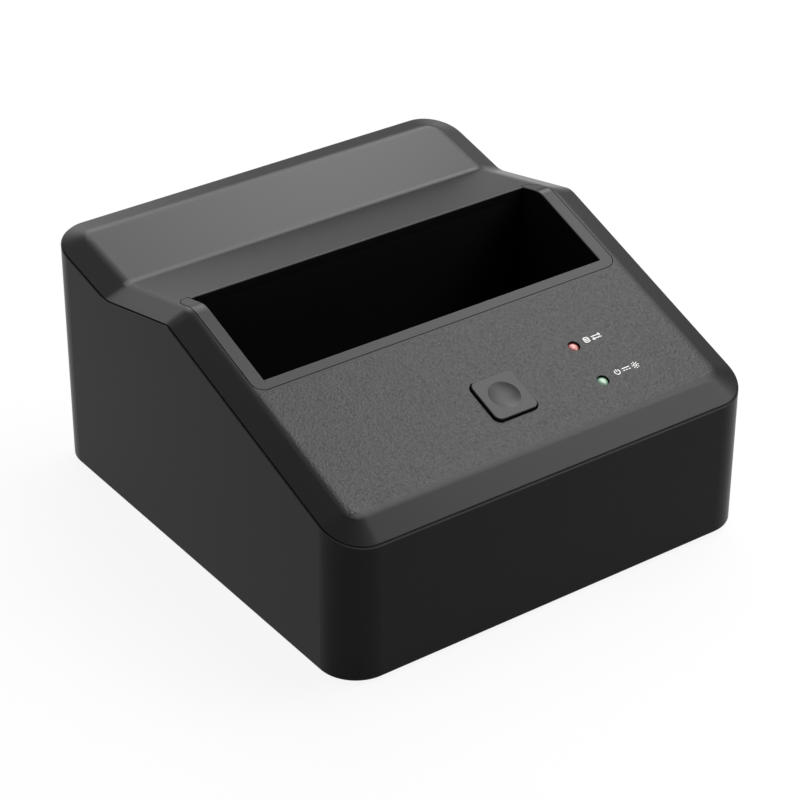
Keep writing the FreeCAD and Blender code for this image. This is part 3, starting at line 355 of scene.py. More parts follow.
# %% [markdown]
# ## The liner: satin rim, rough well painted dark as shade
# The frame round the slot is flush with the cover and has its finish. Below it the well is deep and
# rough, and its colour is painted near-black: painted shade for the inside of the slot. Faces could be
# picked by hand, but height splits the two for any mesh: the rim is whatever lies close under the panel's
# plane or, behind the ridge, under the ramp's.

# %% Liner
RIM_DEPTH = 0.9 * MM
RIM_FADE = 0.5 * MM
WELL_ROUGHNESS = 0.85
RAMP_ANGLE = math.radians(12.65)
ramp_out = Vector((0, math.sin(RAMP_ANGLE), math.cos(RAMP_ANGLE)))
ramp_level = max(point.dot(ramp_out) for point in node_points("drive_bay_liner"))


def liner_abs(tree, place, shaded_well_colour):
    """Satin rim; a short way below the panel the well turns rough and is painted near-black as shade."""
    heights = []
    for out, level in ((panel_out, panel_level), (ramp_out, ramp_level)):
        along = add(tree, "ShaderNodeVectorMath", {0: place, 1: out}, operation="DOT_PRODUCT")
        above = add(tree, "ShaderNodeMath", {0: along.outputs["Value"], 1: level}, operation="SUBTRACT")
        heights.append(above.outputs[0])
    nearer = add(tree, "ShaderNodeMath", {0: heights[0], 1: heights[1]}, operation="MAXIMUM")
    rim = add(tree, "ShaderNodeMapRange", {
        "Value": nearer.outputs[0], "From Min": -RIM_DEPTH - RIM_FADE, "From Max": -RIM_DEPTH})
    # Painted shade: below the rim the well's colour is painted near-black.
    tint = add(tree, "ShaderNodeMix", {
        0: rim.outputs[0], 6: linear(shaded_well_colour), 7: linear(COVER_COLOUR)}, data_type="RGBA")
    sheen = add(tree, "ShaderNodeMapRange", {
        "Value": rim.outputs[0], "To Min": WELL_ROUGHNESS, "To Max": COVER_ROUGHNESS})
    pits = moulded_skin(tree, place)[1]
    return add(tree, "ShaderNodeBsdfPrincipled", {
        "Base Color": tint.outputs[2], "Roughness": sheen.outputs[0], "Normal": pits,
        "Specular IOR Level": COVER_SPECULAR, "IOR": ABS_IOR})


# The well's near-black colour is painted shade inside the slot.
new_material("black_abs_liner", liner_abs, "#010101")
print("ramp lies", in_mm([ramp_level]), "mm out along its normal")

# %% [markdown]
# ## Tinted lamps
# Each lamp is cast in tinted epoxy with a frosted body, and both are lit. The heart of the lens is pale
# because the light comes straight through it, and the colour deepens towards the wall of the lens, where
# the light has passed through more of the tint. Real refraction would cost render time on a lens a few
# pixels wide, so the distance from the lamp's axis drives that change instead. The frost is drawn
# coarser than the real one, which is too fine to show.

# %% Lamps
LENS_RADIUS = 1.55 * MM
HEART_RADIUS = 0.3 * LENS_RADIUS
LENS_GLOW = 0.2
FROST_MM = 0.4


def tinted_epoxy(tree, place, lamp, heart, wall):
    """Glossy lens that is pale at its heart and deeply tinted at its wall."""
    offset = add(tree, "ShaderNodeVectorMath", {0: place, 1: PANEL @ lamp_middles[lamp]},
                 operation="SUBTRACT")
    around = add(tree, "ShaderNodeVectorMath", {0: offset.outputs[0], 1: panel_out},
                 operation="CROSS_PRODUCT")
    reach = add(tree, "ShaderNodeVectorMath", {0: around.outputs[0]}, operation="LENGTH")
    share = add(tree, "ShaderNodeMapRange", {
        "Value": reach.outputs["Value"], "From Min": HEART_RADIUS, "From Max": LENS_RADIUS},
        interpolation_type="SMOOTHSTEP")
    tint = add(tree, "ShaderNodeMix", {0: share.outputs[0], 6: linear(heart), 7: linear(wall)},
               data_type="RGBA")
    frost = add(tree, "ShaderNodeTexNoise", {"Vector": place, "Scale": per_mm(FROST_MM), "Detail": 1.0})
    gloss = add(tree, "ShaderNodeMapRange", {
        "Value": frost.outputs["Fac"], "To Min": 0.1, "To Max": 0.25})
    return add(tree, "ShaderNodeBsdfPrincipled", {
        "Base Color": tint.outputs[2], "Roughness": gloss.outputs[0], "IOR": 1.54,
        "Emission Color": tint.outputs[2], "Emission Strength": LENS_GLOW})


new_material("red_tinted_epoxy", tinted_epoxy, "data_lamp", "#bc7d78", "#6a2422")
new_material("green_tinted_epoxy", tinted_epoxy, "power_lamp", "#90ac97", "#3f6a4c")

# %% [markdown]
# ## Metals
# Pressed, drawn and plated parts all carry faint lines from the tool that formed them. An anisotropic
# sheen could hint at them, but it follows a UV map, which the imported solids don't have, so a noise that
# is stretched along one axis draws them: they change the sheen a little and barely dent the surface.
# Real ones are several times finer, too fine to show, so these are drawn coarser. Colour, sheen and
# direction make it nickel, gold, zinc or bare wire. Metals keep the shader's default IOR, because their
# colour already says how they reflect.

# %% Plated and drawn metals
STAIN_MM = 3
LINE_SPREAD = 0.08
LINE_DEPTH = 0.01 * MM


def drawn_lines(tree, place, line_mm, stretch, detail):
    """Fine lines, drawn out along the axes that have a small stretch."""
    drawn = add(tree, "ShaderNodeMapping", {"Vector": place, "Scale": stretch})
    lines = add(tree, "ShaderNodeTexNoise", {
        "Vector": drawn.outputs[0], "Scale": per_mm(line_mm), "Detail": detail})
    return lines.outputs["Fac"]


def worked_metal(tree, place, colour, stain, roughness, line_mm, stretch):
    """Metal with fine lines from its tool and a slight stain."""
    lines = drawn_lines(tree, place, line_mm, stretch, 3.0)
    sheen = add(tree, "ShaderNodeMapRange", {
        "Value": lines, "To Min": roughness - LINE_SPREAD, "To Max": roughness + LINE_SPREAD})
    marks = add(tree, "ShaderNodeBump", {"Height": lines, "Strength": 0.2, "Distance": LINE_DEPTH})
    return add(tree, "ShaderNodeBsdfPrincipled", {
        "Base Color": drifting(tree, place, STAIN_MM, colour, stain), "Metallic": 1.0,
        "Roughness": sheen.outputs[0], "Normal": marks.outputs[0]})


METALS = {
    # name: colour, stain, roughness, width of a line in millimetres, stretch of the lines
    "nickel_plated_steel": ("#c4c3be", "#b5b4ae", 0.3, 0.3, (1, 0.08, 1)),
    "gold_flashed_bronze": ("#d9b25c", "#c99f4a", 0.3, 0.2, (1, 1, 0.1)),
    "zinc_plated_steel": ("#a9acb0", "#9a9ca3", 0.36, 0.25, (1, 1, 1)),
    "tinned_steel_wire": ("#bdbdbb", "#adadab", 0.32, 0.2, (1, 1, 0.1)),
}
for name, choices in METALS.items():
    new_material(name, worked_metal, *choices)

# %% [markdown]
# ## Aluminium cans on plastic bases
# A surface-mount capacitor is a drawn aluminium can, clamped over a black plastic base. The base is the
# lowest millimetre above the board, so height alone splits the two finishes, with no second solid.

# %% Capacitors
CAN_BASE_HEIGHT = 1.0 * MM
CAN_LINE_MM = 0.25
CAN_STRETCH = (1, 1, 0.08)
can_base_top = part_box("filter_capacitors")[0].z + CAN_BASE_HEIGHT


def aluminium_can(tree, place, metal_colour, base_colour):
    """Drawn aluminium above the base's top, dull black plastic below it."""
    axes = add(tree, "ShaderNodeSeparateXYZ", {0: place})
    can = add(tree, "ShaderNodeMath", {0: axes.outputs["Z"], 1: can_base_top}, operation="GREATER_THAN")
    tint = add(tree, "ShaderNodeMix", {
        0: can.outputs[0], 6: linear(base_colour), 7: linear(metal_colour)}, data_type="RGBA")
    lines = drawn_lines(tree, place, CAN_LINE_MM, CAN_STRETCH, 2.0)
    sheen = add(tree, "ShaderNodeMapRange", {"Value": lines, "To Min": 0.28, "To Max": 0.44})
    return add(tree, "ShaderNodeBsdfPrincipled", {
        "Base Color": tint.outputs[2], "Metallic": can.outputs[0], "Roughness": sheen.outputs[0]})


new_material("drawn_aluminium_can", aluminium_can, "#cfd0d2", "#1a1a1a")
print("can bases end at", in_mm([can_base_top]), "mm")

# %% [markdown]
# ## Circuit boards
# Solder mask is a thin green lacquer over glass laminate and copper. Where copper runs below it, the
# lacquer looks lighter and stands up by a hair. Drawing each trace would be long work for boards that
# sit deep in the case, so waves stand for them. Traces run in parallel bundles, some along the board and
# some across, so each patch of a coarse cell pattern chooses the direction of its bundle. Real traces
# lie under a millimetre apart, too fine to show, so these are drawn coarser.

# %% Circuit boards
PATCH_MM = 11
TRACE_SPACING = 5.65487 * MM
TRACE_HEIGHT = 0.03 * MM
WAVE_RADIANS = 20  # what the wave texture turns through along one unit at a scale of 1


def solder_mask(tree, place, bare, over_copper):
    """Green lacquer with faint bundles of copper traces under it."""
    patches = add(tree, "ShaderNodeTexVoronoi", {"Vector": place, "Scale": per_mm(PATCH_MM)},
                  distance="CHEBYCHEV")
    share = add(tree, "ShaderNodeSeparateColor", {0: patches.outputs["Color"]})
    choice = add(tree, "ShaderNodeMath", {0: share.outputs[0], 1: 0.5}, operation="GREATER_THAN")
    wave_scale = 2 * math.pi / (WAVE_RADIANS * TRACE_SPACING)
    bundles = [add(tree, "ShaderNodeTexWave", {"Vector": place, "Scale": wave_scale},
                   bands_direction=axis) for axis in ("X", "Y")]
    wave = add(tree, "ShaderNodeMix", {
        0: choice.outputs[0], 2: bundles[0].outputs["Fac"], 3: bundles[1].outputs["Fac"]})
    copper = add(tree, "ShaderNodeMapRange", {
        "Value": wave.outputs[0], "From Min": 0.55, "From Max": 0.65})
    tint = add(tree, "ShaderNodeMix", {0: copper.outputs[0], 6: linear(bare), 7: linear(over_copper)},
               data_type="RGBA")
    step = add(tree, "ShaderNodeBump", {
        "Height": copper.outputs[0], "Strength": 0.4, "Distance": TRACE_HEIGHT})
    return add(tree, "ShaderNodeBsdfPrincipled", {
        "Base Color": tint.outputs[2], "Roughness": 0.34, "Normal": step.outputs[0], "IOR": 1.55})


new_material("green_solder_mask", solder_mask, "#17492f", "#25683f")

# %% [markdown]
# ## Filled and dusty materials
# Chip epoxy is full of silica grains, ferrite is pressed powder, and rubber feet pick up a dull bloom.
# All three are dark with paler flecks, so one recipe serves them; they differ in the size of the flecks
# and in how matt they are. Real grains are far finer, too fine to show, so the flecks are drawn coarser.

# %% Epoxy, ferrite and rubber
def flecked(tree, place, colour, fleck, fleck_mm, roughness, relief_mm):
    """Dull dark material with paler flecks and a fine relief."""
    grains = add(tree, "ShaderNodeTexNoise", {
        "Vector": place, "Scale": per_mm(fleck_mm), "Detail": 4.0, "Roughness": 0.7})
    share = add(tree, "ShaderNodeMapRange", {
        "Value": grains.outputs["Fac"], "From Min": 0.45, "From Max": 0.75})
    tint = add(tree, "ShaderNodeMix", {0: share.outputs[0], 6: linear(colour), 7: linear(fleck)},
               data_type="RGBA")
    relief = add(tree, "ShaderNodeBump", {
        "Height": grains.outputs["Fac"], "Strength": 0.4, "Distance": relief_mm * MM})
    return add(tree, "ShaderNodeBsdfPrincipled", {
        "Base Color": tint.outputs[2], "Roughness": roughness, "Normal": relief.outputs[0],
        "Specular IOR Level": 0.3})


FLECKED = {
    # name: colour, fleck, size of a fleck in millimetres, roughness, relief in millimetres
    "silica_filled_epoxy": ("#1b1b1b", "#2b2b2b", 0.4, 0.6, 0.01),
    "pressed_ferrite": ("#3a3a3b", "#505051", 0.5, 0.7, 0.02),
    "moulded_silicone_rubber": ("#171717", "#262626", 0.6, 0.85, 0.02),
}
for name, choices in FLECKED.items():
    new_material(name, flecked, *choices)

# %% [markdown]
# ## The lead between the boards
# Five PVC-covered wires lie side by side. The first is red, to mark which way round the plug goes, and
# the rest are dark grey. Handling leaves their soft sheen a little smeared. The five are one packed
# solid, so the wire's place across the case picks its colour.

# %% Wires
FIRST_WIRE_ROOM = 1.35 * MM
SMEAR_MM = 1.5
first_wire_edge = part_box("panel_cable")[0].x + FIRST_WIRE_ROOM


def ribbon_pvc(tree, place, first, rest):
    """Soft PVC, one colour for the first wire and another for the rest."""
    axes = add(tree, "ShaderNodeSeparateXYZ", {0: place})
    later = add(tree, "ShaderNodeMath", {0: axes.outputs["X"], 1: first_wire_edge},
                operation="GREATER_THAN")
    tint = add(tree, "ShaderNodeMix", {0: later.outputs[0], 6: linear(first), 7: linear(rest)},
               data_type="RGBA")
    smear = add(tree, "ShaderNodeTexNoise", {"Vector": place, "Scale": per_mm(SMEAR_MM), "Detail": 2.0})
    sheen = add(tree, "ShaderNodeMapRange", {
        "Value": smear.outputs["Fac"], "To Min": 0.4, "To Max": 0.55})
    return add(tree, "ShaderNodeBsdfPrincipled", {
        "Base Color": tint.outputs[2], "Roughness": sheen.outputs[0], "IOR": 1.53})


new_material("soft_pvc_wire", ribbon_pvc, "#a32a24", "#3b3b3d")
print("first wire ends at x =", in_mm([first_wire_edge]), "mm")

# %% [markdown]
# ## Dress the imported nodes
# Every solid now gets its finish. The solids stay as they came; only their material changes. One table
# shows which parts share a finish.

# %% Dress the nodes
FINISHES = {
    "black_satin_abs": ["lower_housing"],
    "black_grained_abs": ["top_cover"],
    "black_abs_liner": ["drive_bay_liner"],
    "black_satin_abs_cap": ["power_button"],
    "glass_filled_lcp": ["sata_receptacle", "dc_jack_body"],
    "blue_moulded_pbt": ["usb_socket_insulator"],
    "black_moulded_nylon": ["switch_body"],
    "white_moulded_acetal": ["switch_plunger"],
    "natural_moulded_nylon": ["main_header", "panel_header", "main_plug", "panel_plug"],
    "red_tinted_epoxy": ["data_lamp"],
    "green_tinted_epoxy": ["power_lamp"],
    "nickel_plated_steel": ["usb_socket_shell", "crystal_can"],
    "gold_flashed_bronze": ["sata_contacts", "dc_jack_pin"],
    "zinc_plated_steel": ["case_screws", "board_screws", "panel_screws"],
    "tinned_steel_wire": ["switch_spring", "lamp_leads"],
    "drawn_aluminium_can": ["filter_capacitors"],
    "green_solder_mask": ["main_board", "panel_board"],
    "silica_filled_epoxy": ["bridge_chip"],
    "pressed_ferrite": ["power_inductors"],
    "moulded_silicone_rubber": ["rubber_feet"],
    "soft_pvc_wire": ["panel_cable"],
}
for finish, names in FINISHES.items():
    for name in names:
        nodes[name].data.materials.clear()
        nodes[name].data.materials.append(bpy.data.materials[finish])
undressed = set(nodes) - {name for names in FINISHES.values() for name in names}
print("dressed", len(nodes) - len(undressed), "nodes; left over:", sorted(undressed))

# %% [markdown]
# ## Geometry Nodes, in plain steps
# Screws, contacts, the spring and printed strokes repeat or follow a path, which is what Geometry Nodes
# are for. Each tree has named inputs for its sizes. A helper runs a tree on a start mesh and keeps the
# result as a plain mesh, so that the finished piece carries no modifier and exports like any other.

# %% Geometry Nodes helpers
NUMBER = "NodeSocketFloat"
COUNT = "NodeSocketInt"
VECTOR = "NodeSocketVector"
MATERIAL = "NodeSocketMaterial"
GEOMETRY = "NodeSocketGeometry"
SHARP_ANGLE = math.radians(35)


def geometry_tree(name, **inputs):
    """Geometry Nodes tree with a finish and named inputs, and the sockets that bring them in."""
    tree = bpy.data.node_groups.new(name, "GeometryNodeTree")
    for title, kind in {"geometry": GEOMETRY, **inputs, "finish": MATERIAL}.items():
        tree.interface.new_socket(title, in_out="INPUT", socket_type=kind)
    tree.interface.new_socket("geometry", in_out="OUTPUT", socket_type=GEOMETRY)
    return tree, add(tree, "NodeGroupInput").outputs


def finish_tree(tree, geometry, material):
    """End a tree in real geometry that wears a material."""
    real = add(tree, "GeometryNodeRealizeInstances", {0: geometry})
    worn = add(tree, "GeometryNodeSetMaterial", {"Geometry": real.outputs[0], "Material": material})
    add(tree, "NodeGroupOutput", {0: worn.outputs[0]})
    print(tree.name, "is a tree of", len(tree.nodes), "nodes")


def grow(name, tree, finish, points, edges=(), **sizes):
    """Run a tree on points and edges, and keep the result as a piece with a plain mesh."""
    start = bpy.data.meshes.new(name + "_start")
    start.from_pydata(points, edges, [])
    piece = bpy.data.objects.new(name, start)
    scene.collection.objects.link(piece)
    modifier = piece.modifiers.new(tree.name, "NODES")
    modifier.node_group = tree
    values = {"finish": bpy.data.materials[finish], **sizes}
    for socket in tree.interface.items_tree:
        if socket.in_out == "INPUT" and socket.name in values:
            modifier[socket.identifier] = values[socket.name]
    evaluated = piece.evaluated_get(bpy.context.evaluated_depsgraph_get())
    mesh = bpy.data.meshes.new_from_object(evaluated)
    piece.modifiers.remove(modifier)
    piece.data = mesh
    mesh.name = name
    bpy.data.meshes.remove(start)
    mesh.materials.clear()
    mesh.materials.append(values["finish"])
    mesh.polygons.foreach_set("material_index", [0] * len(mesh.polygons))
    mesh.shade_smooth()
    mesh.set_sharp_from_angle(angle=SHARP_ANGLE)
    print(name, "has", len(mesh.polygons), "faces and wears", mesh.materials[0].name)
    return piece


# %% [markdown]
# ## Pan-head screws
# The case is closed from below by four self-tapping screws, and smaller ones hold the two boards. The
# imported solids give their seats; the crown of the head, the cross for the driver and the thread are
# added here. A lathe profile would give the crown but not the cross, so the head is cut from solids: the
# crown is the part of a flat cylinder that lies inside a large ball, and the cross is two bars and a
# cone taken out of it. The thread is a diamond drawn along a spiral.

# %% Screw tree
def screw_tree():
    """Screws on points: head above each point, shank below, turned by given angles."""
    tree, given = geometry_tree(
        "pan_head_screws", head_radius=NUMBER, head_height=NUMBER, crown_radius=NUMBER,
        cross_width=NUMBER, cross_reach=NUMBER, cross_depth=NUMBER, shank_radius=NUMBER,
        shank_length=NUMBER, thread_pitch=NUMBER, thread_height=NUMBER, turn=VECTOR)

    def raised(mesh, height, share):
        """A mesh moved up by a share of a height."""
        lift = add(tree, "ShaderNodeMath", {0: height, 1: share}, operation="MULTIPLY")
        place = add(tree, "ShaderNodeCombineXYZ", {"Z": lift.outputs[0]})
        moved = add(tree, "GeometryNodeTransform", {"Geometry": mesh, "Translation": place.outputs[0]})
        return moved.outputs[0]

    disc = add(tree, "GeometryNodeMeshCylinder", {
        "Vertices": 40, "Radius": given["head_radius"], "Depth": given["head_height"]})
    ball = add(tree, "GeometryNodeMeshUVSphere", {
        "Segments": 48, "Rings": 48, "Radius": given["crown_radius"]})
    ball_drop = raised(ball.outputs["Mesh"], given["crown_radius"], -1.0)
    crown = add(tree, "GeometryNodeMeshBoolean", operation="INTERSECT", solver="EXACT")
    tree.links.new(raised(disc.outputs["Mesh"], given["head_height"], 0.5), crown.inputs[1])
    tree.links.new(raised(ball_drop, given["head_height"], 1.0), crown.inputs[1])
    cross = add(tree, "GeometryNodeMeshBoolean", {0: crown.outputs[0]},
                operation="DIFFERENCE", solver="EXACT")
    for wide, deep in (("cross_reach", "cross_width"), ("cross_width", "cross_reach")):
        size = add(tree, "ShaderNodeCombineXYZ", {
            "X": given[wide], "Y": given[deep], "Z": given["cross_depth"]})
        bar = add(tree, "GeometryNodeMeshCube", {"Size": size.outputs[0]})
        tree.links.new(raised(bar.outputs["Mesh"], given["head_height"], 1.0), cross.inputs[1])
    point = add(tree, "GeometryNodeMeshCone", {
        "Vertices": 16, "Radius Top": given["cross_width"], "Radius Bottom": 0.0,
        "Depth": given["cross_depth"]})
    sunk = raised(point.outputs["Mesh"], given["cross_depth"], -0.75)
    tree.links.new(raised(sunk, given["head_height"], 1.0), cross.inputs[1])

    core = add(tree, "GeometryNodeMeshCylinder", {
        "Vertices": 24, "Radius": given["shank_radius"], "Depth": given["shank_length"]})
    turns = add(tree, "ShaderNodeMath", {0: given["shank_length"], 1: given["thread_pitch"]},
                operation="DIVIDE")
    spiral = add(tree, "GeometryNodeCurveSpiral", {
        "Resolution": 20, "Rotations": turns.outputs[0], "Start Radius": given["shank_radius"],
        "End Radius": given["shank_radius"], "Height": given["shank_length"]})
    upright = add(tree, "GeometryNodeSetCurveNormal", {"Curve": spiral.outputs[0]}, mode="Z_UP")
    diamond = add(tree, "GeometryNodeCurvePrimitiveCircle", {
        "Resolution": 4, "Radius": given["thread_height"]})
    thread = add(tree, "GeometryNodeCurveToMesh", {
        "Curve": upright.outputs[0], "Profile Curve": diamond.outputs[0], "Fill Caps": True})
    whole = add(tree, "GeometryNodeJoinGeometry")
    for mesh in (cross.outputs[0], raised(core.outputs["Mesh"], given["shank_length"], -0.5),
                 raised(thread.outputs[0], given["shank_length"], -1.0)):
        tree.links.new(mesh, whole.inputs[0])
    placed = add(tree, "GeometryNodeInstanceOnPoints", {
        "Points": given["geometry"], "Instance": whole.outputs[0], "Rotation": given["turn"]})
    finish_tree(tree, placed.outputs[0], given["finish"])
    return tree


SCREWS = screw_tree()

# %% [markdown]
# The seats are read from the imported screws: corners that lie close together, seen along the screw's own
# axis, belong to one screw, and its seat lies one head's height below its top.

# %% Place the screws
SAME_SCREW = 2.2  # head radii between corners of one screw, at most
CROWN_SHARE = 1.75  # of the head's radius, as are the next two
CROSS_WIDTH_SHARE = 0.3
CROSS_REACH_SHARE = 1.25
CROSS_DEPTH_SHARE = 1.1  # of the head's height
THREAD_SHARE = 0.16  # of the pitch


def screw_seats(node, turn, head_radius, head_height):
    """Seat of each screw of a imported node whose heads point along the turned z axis."""
    groups = []
    for point in node_points(node):
        local = turn.inverted() @ point
        near = [group for group in groups if (group[0].xy - local.xy).length < SAME_SCREW * head_radius]
        if near:
            near[0].append(local)
        else:
            groups.append([local])
    seats = []
    for low, high in map(extent, groups):
        seats.append(turn @ Vector(((low.x + high.x) / 2, (low.y + high.y) / 2, high.z - head_height)))
    return seats


def cross_head_screws(node, heads_along, head, shank, pitch):
    """Put cross-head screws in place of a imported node; head and shank are radius and length in mm."""
    turn = heads_along.to_track_quat("Z", "Y")
    radius, height = (size * MM for size in head)
    seats = screw_seats(node, turn, radius, height)
    piece = grow("cross_head_" + node, SCREWS, "zinc_plated_steel", seats, head_radius=radius,
                 head_height=height, crown_radius=CROWN_SHARE * radius,
                 cross_width=CROSS_WIDTH_SHARE * radius, cross_reach=CROSS_REACH_SHARE * radius,
                 cross_depth=CROSS_DEPTH_SHARE * height, shank_radius=shank[0] * MM,
                 shank_length=shank[1] * MM, thread_pitch=pitch * MM,
                 thread_height=THREAD_SHARE * pitch * MM, turn=turn.to_euler())
    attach(piece, "case")
    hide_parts(node)
    print(len(seats), "screws, first seat at", in_mm(seats[0]))


cross_head_screws("case_screws", Vector((0, 0, -1)), head=(2.8, 2.2), shank=(1.22, 10.0), pitch=1.25)
cross_head_screws("board_screws", Vector((0, 0, 1)), head=(2.3, 1.6), shank=(1.08, 6.0), pitch=1.0)
cross_head_screws("panel_screws", -panel_out, head=(1.9, 1.3), shank=(0.83, 6.0), pitch=0.8)

# %% [markdown]
# ## Contacts of the data socket
# The data socket's tongues carry gold-flashed strips, two above and two below the thick tongue and five
# under the thin one. Each strip is a flat ribbon that lies on the plastic and dips at its tip, so that a
# plug rides over it. Nine boxes would do from afar, but a ribbon drawn along a bent path shows the dip,
# and a row is one such strip repeated along a line of points.

# %% Contact tree
def contact_tree():
    """Row of flat strips: each lies along y from its root and dips at its tip."""
    tree, given = geometry_tree("contact_row", count=COUNT, pitch=VECTOR, root=VECTOR, tip=VECTOR,
                                dip=VECTOR, width=NUMBER, thickness=NUMBER)
    line = add(tree, "GeometryNodeCurvePrimitiveLine", {"End": given["tip"]})
    curl = add(tree, "GeometryNodeCurvePrimitiveLine", {"Start": given["tip"], "End": given["dip"]})
    runs = add(tree, "GeometryNodeJoinGeometry")
    for run in (curl, line):
        tree.links.new(run.outputs[0], runs.inputs[0])
    upright = add(tree, "GeometryNodeSetCurveNormal", {"Curve": runs.outputs[0]}, mode="Z_UP")
    flat = add(tree, "GeometryNodeCurvePrimitiveQuadrilateral", {
        "Width": given["width"], "Height": given["thickness"]})
    strip = add(tree, "GeometryNodeCurveToMesh", {
        "Curve": upright.outputs[0], "Profile Curve": flat.outputs[0], "Fill Caps": True})
    places = add(tree, "GeometryNodeMeshLine", {
        "Count": given["count"], "Start Location": given["root"], "Offset": given["pitch"]})
    row = add(tree, "GeometryNodeInstanceOnPoints", {
        "Points": places.outputs[0], "Instance": strip.outputs[0]})
    finish_tree(tree, row.outputs[0], given["finish"])
    return tree


CONTACTS = contact_tree()

# %% Place the contacts
STRIP_THICKNESS = 0.12 * MM
STRIP_LENGTH = 6.6 * MM
STRIP_ROOT = 7.4 * MM
CURL_LENGTH = 0.6 * MM
CURL_DIP = 0.2 * MM
CONTACT_ROWS = {
    # name: strips, pitch, width, height of the strip's middle, direction of its dip
    "socket_contacts_upper": (2, 2.5, 1.1, 15.0, -1),
    "socket_contacts_lower": (2, 2.5, 1.1, 11.7, 1),
    "socket_contacts_fine": (5, 0.85, 0.42, 17.95, 1),
}
tongue_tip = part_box("usb_socket_insulator")[1].y
socket_middle = sum(corner.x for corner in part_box("usb_socket_insulator")) / 2
for name, (count, pitch, width, height, dip) in CONTACT_ROWS.items():
    first_strip = socket_middle - (count - 1) * pitch * MM / 2
    tip = Vector((0, STRIP_LENGTH, 0))
    row = grow(name, CONTACTS, "gold_flashed_bronze", [(0, 0, 0)], count=count, pitch=(pitch * MM, 0, 0),
               root=Vector((first_strip, tongue_tip - STRIP_ROOT, height * MM)), tip=tip,
               dip=tip + Vector((0, CURL_LENGTH, CURL_DIP * dip)), width=width * MM,
               thickness=STRIP_THICKNESS)
    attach(row, "case")

# %% [markdown]
# ## The spring under the button
# A coil spring in the switch pushes the button back. The imported coil is right at rest but can't shorten,
# so a pressed plunger would cut through it. A coil of the same wire stands in its place: a round section
# drawn along a spiral. Its foot stays on the floor of the switch.

# %% Spring
WIRE_RADIUS = 0.2 * MM
SPRING_TURNS = 4


def coil_tree():
    """Wire coils that stand on points."""
    tree, given = geometry_tree("coil_spring", coil_radius=NUMBER, wire_radius=NUMBER, turns=NUMBER,
                                height=NUMBER)
    spiral = add(tree, "GeometryNodeCurveSpiral", {
        "Resolution": 32, "Rotations": given["turns"], "Start Radius": given["coil_radius"],
        "End Radius": given["coil_radius"], "Height": given["height"]})
    section = add(tree, "GeometryNodeCurvePrimitiveCircle", {
        "Resolution": 12, "Radius": given["wire_radius"]})
    wire = add(tree, "GeometryNodeCurveToMesh", {
        "Curve": spiral.outputs[0], "Profile Curve": section.outputs[0], "Fill Caps": True})
    coils = add(tree, "GeometryNodeInstanceOnPoints", {
        "Points": given["geometry"], "Instance": wire.outputs[0]})
    finish_tree(tree, coils.outputs[0], given["finish"])
    return tree


coil_low, coil_high = panel_extent("switch_spring")
coil_middle = (coil_low + coil_high) / 2
coil_length = coil_high.z - coil_low.z
coil_foot = Vector((coil_middle.x, coil_middle.y, coil_low.z))
coil_start = coil_foot + Vector((0, 0, WIRE_RADIUS))
spring = grow("return_spring", coil_tree(), "tinned_steel_wire", [coil_start],
              coil_radius=coil_high.x - coil_middle.x - WIRE_RADIUS, wire_radius=WIRE_RADIUS,
              turns=SPRING_TURNS, height=coil_length - 2 * WIRE_RADIUS)
spring.data.transform(PANEL)
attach(spring, "case")
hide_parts("switch_spring")
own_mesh(spring)

# %% [markdown]
# ## Printed signs
# Beside each lamp the panel carries a small white screen-printed sign. They are drawn here as plain
# pictograms: a stack of disks with arrows in and out for the data lamp, and the usual stand-by ring, the
# sign for direct current and a small shining lamp for the power lamp. Ink could be painted into the
# panel's material, but thin geometry stays sharp at any distance: each stroke is a path on the panel
# with a flat layer of ink drawn along it, a quarter of a millimetre wide as screen printing needs.

# %% Ink and strokes
INK_PATCH_MM = 0.6
STROKE_WIDTH = 0.26 * MM
INK_THICKNESS = 0.04 * MM


def screen_ink(tree, place, colour, thin):
    """Matt white ink that is a little thinner in places."""
    return add(tree, "ShaderNodeBsdfPrincipled", {
        "Base Color": drifting(tree, place, INK_PATCH_MM, colour, thin), "Roughness": 0.6})


def stroke_tree():
    """Flat ink drawn along the edges of a flat path."""
    tree, given = geometry_tree("printed_strokes", width=NUMBER, ink=NUMBER)
    path = add(tree, "GeometryNodeMeshToCurve", {0: given["geometry"]})
    flat = add(tree, "GeometryNodeSetCurveNormal", {"Curve": path.outputs[0]}, mode="Z_UP")
    section = add(tree, "GeometryNodeCurvePrimitiveQuadrilateral", {
        "Width": given["width"], "Height": given["ink"]})
    layer = add(tree, "GeometryNodeCurveToMesh", {
        "Curve": flat.outputs[0], "Profile Curve": section.outputs[0], "Fill Caps": True})
    finish_tree(tree, layer.outputs[0], given["finish"])
    return tree


STROKES = stroke_tree()
new_material("white_screen_ink", screen_ink, "#f4f4f2", "#dcdcda")


# %% Draw the signs
def arc(x, y, radius_x, radius_y, first, last, steps=20):
    """Points along an oval arc, with angles in degrees from the right."""
    angles = [math.radians(first + (last - first) * i / steps) for i in range(steps + 1)]
    return [(x + radius_x * math.cos(angle), y + radius_y * math.sin(angle)) for angle in angles]


def disk_stack(x, half=0.75, oval=0.28, rise=0.5):
    """Upright stack of disks, 1.5 mm wide and 1.6 mm high, from its left side."""
    middle = x + half
    rings = [arc(middle, height, half, oval, 180, 360) for height in (-rise, 0.0)]
    sides = [[(side, rise), (side, -rise)] for side in (x, x + 2 * half)]
    return [arc(middle, rise, half, oval, 0, 360)] + rings + sides


def two_arrows(x):
    """Arrow to the right above an arrow to the left, 2.9 mm long."""
    return [[(x, 0.4), (x + 2.9, 0.4)], [(x + 2.3, 0.85), (x + 2.9, 0.4), (x + 2.3, -0.05)],
            [(x + 2.9, -0.45), (x, -0.45)], [(x + 0.6, 0.0), (x, -0.45), (x + 0.6, -0.9)]]


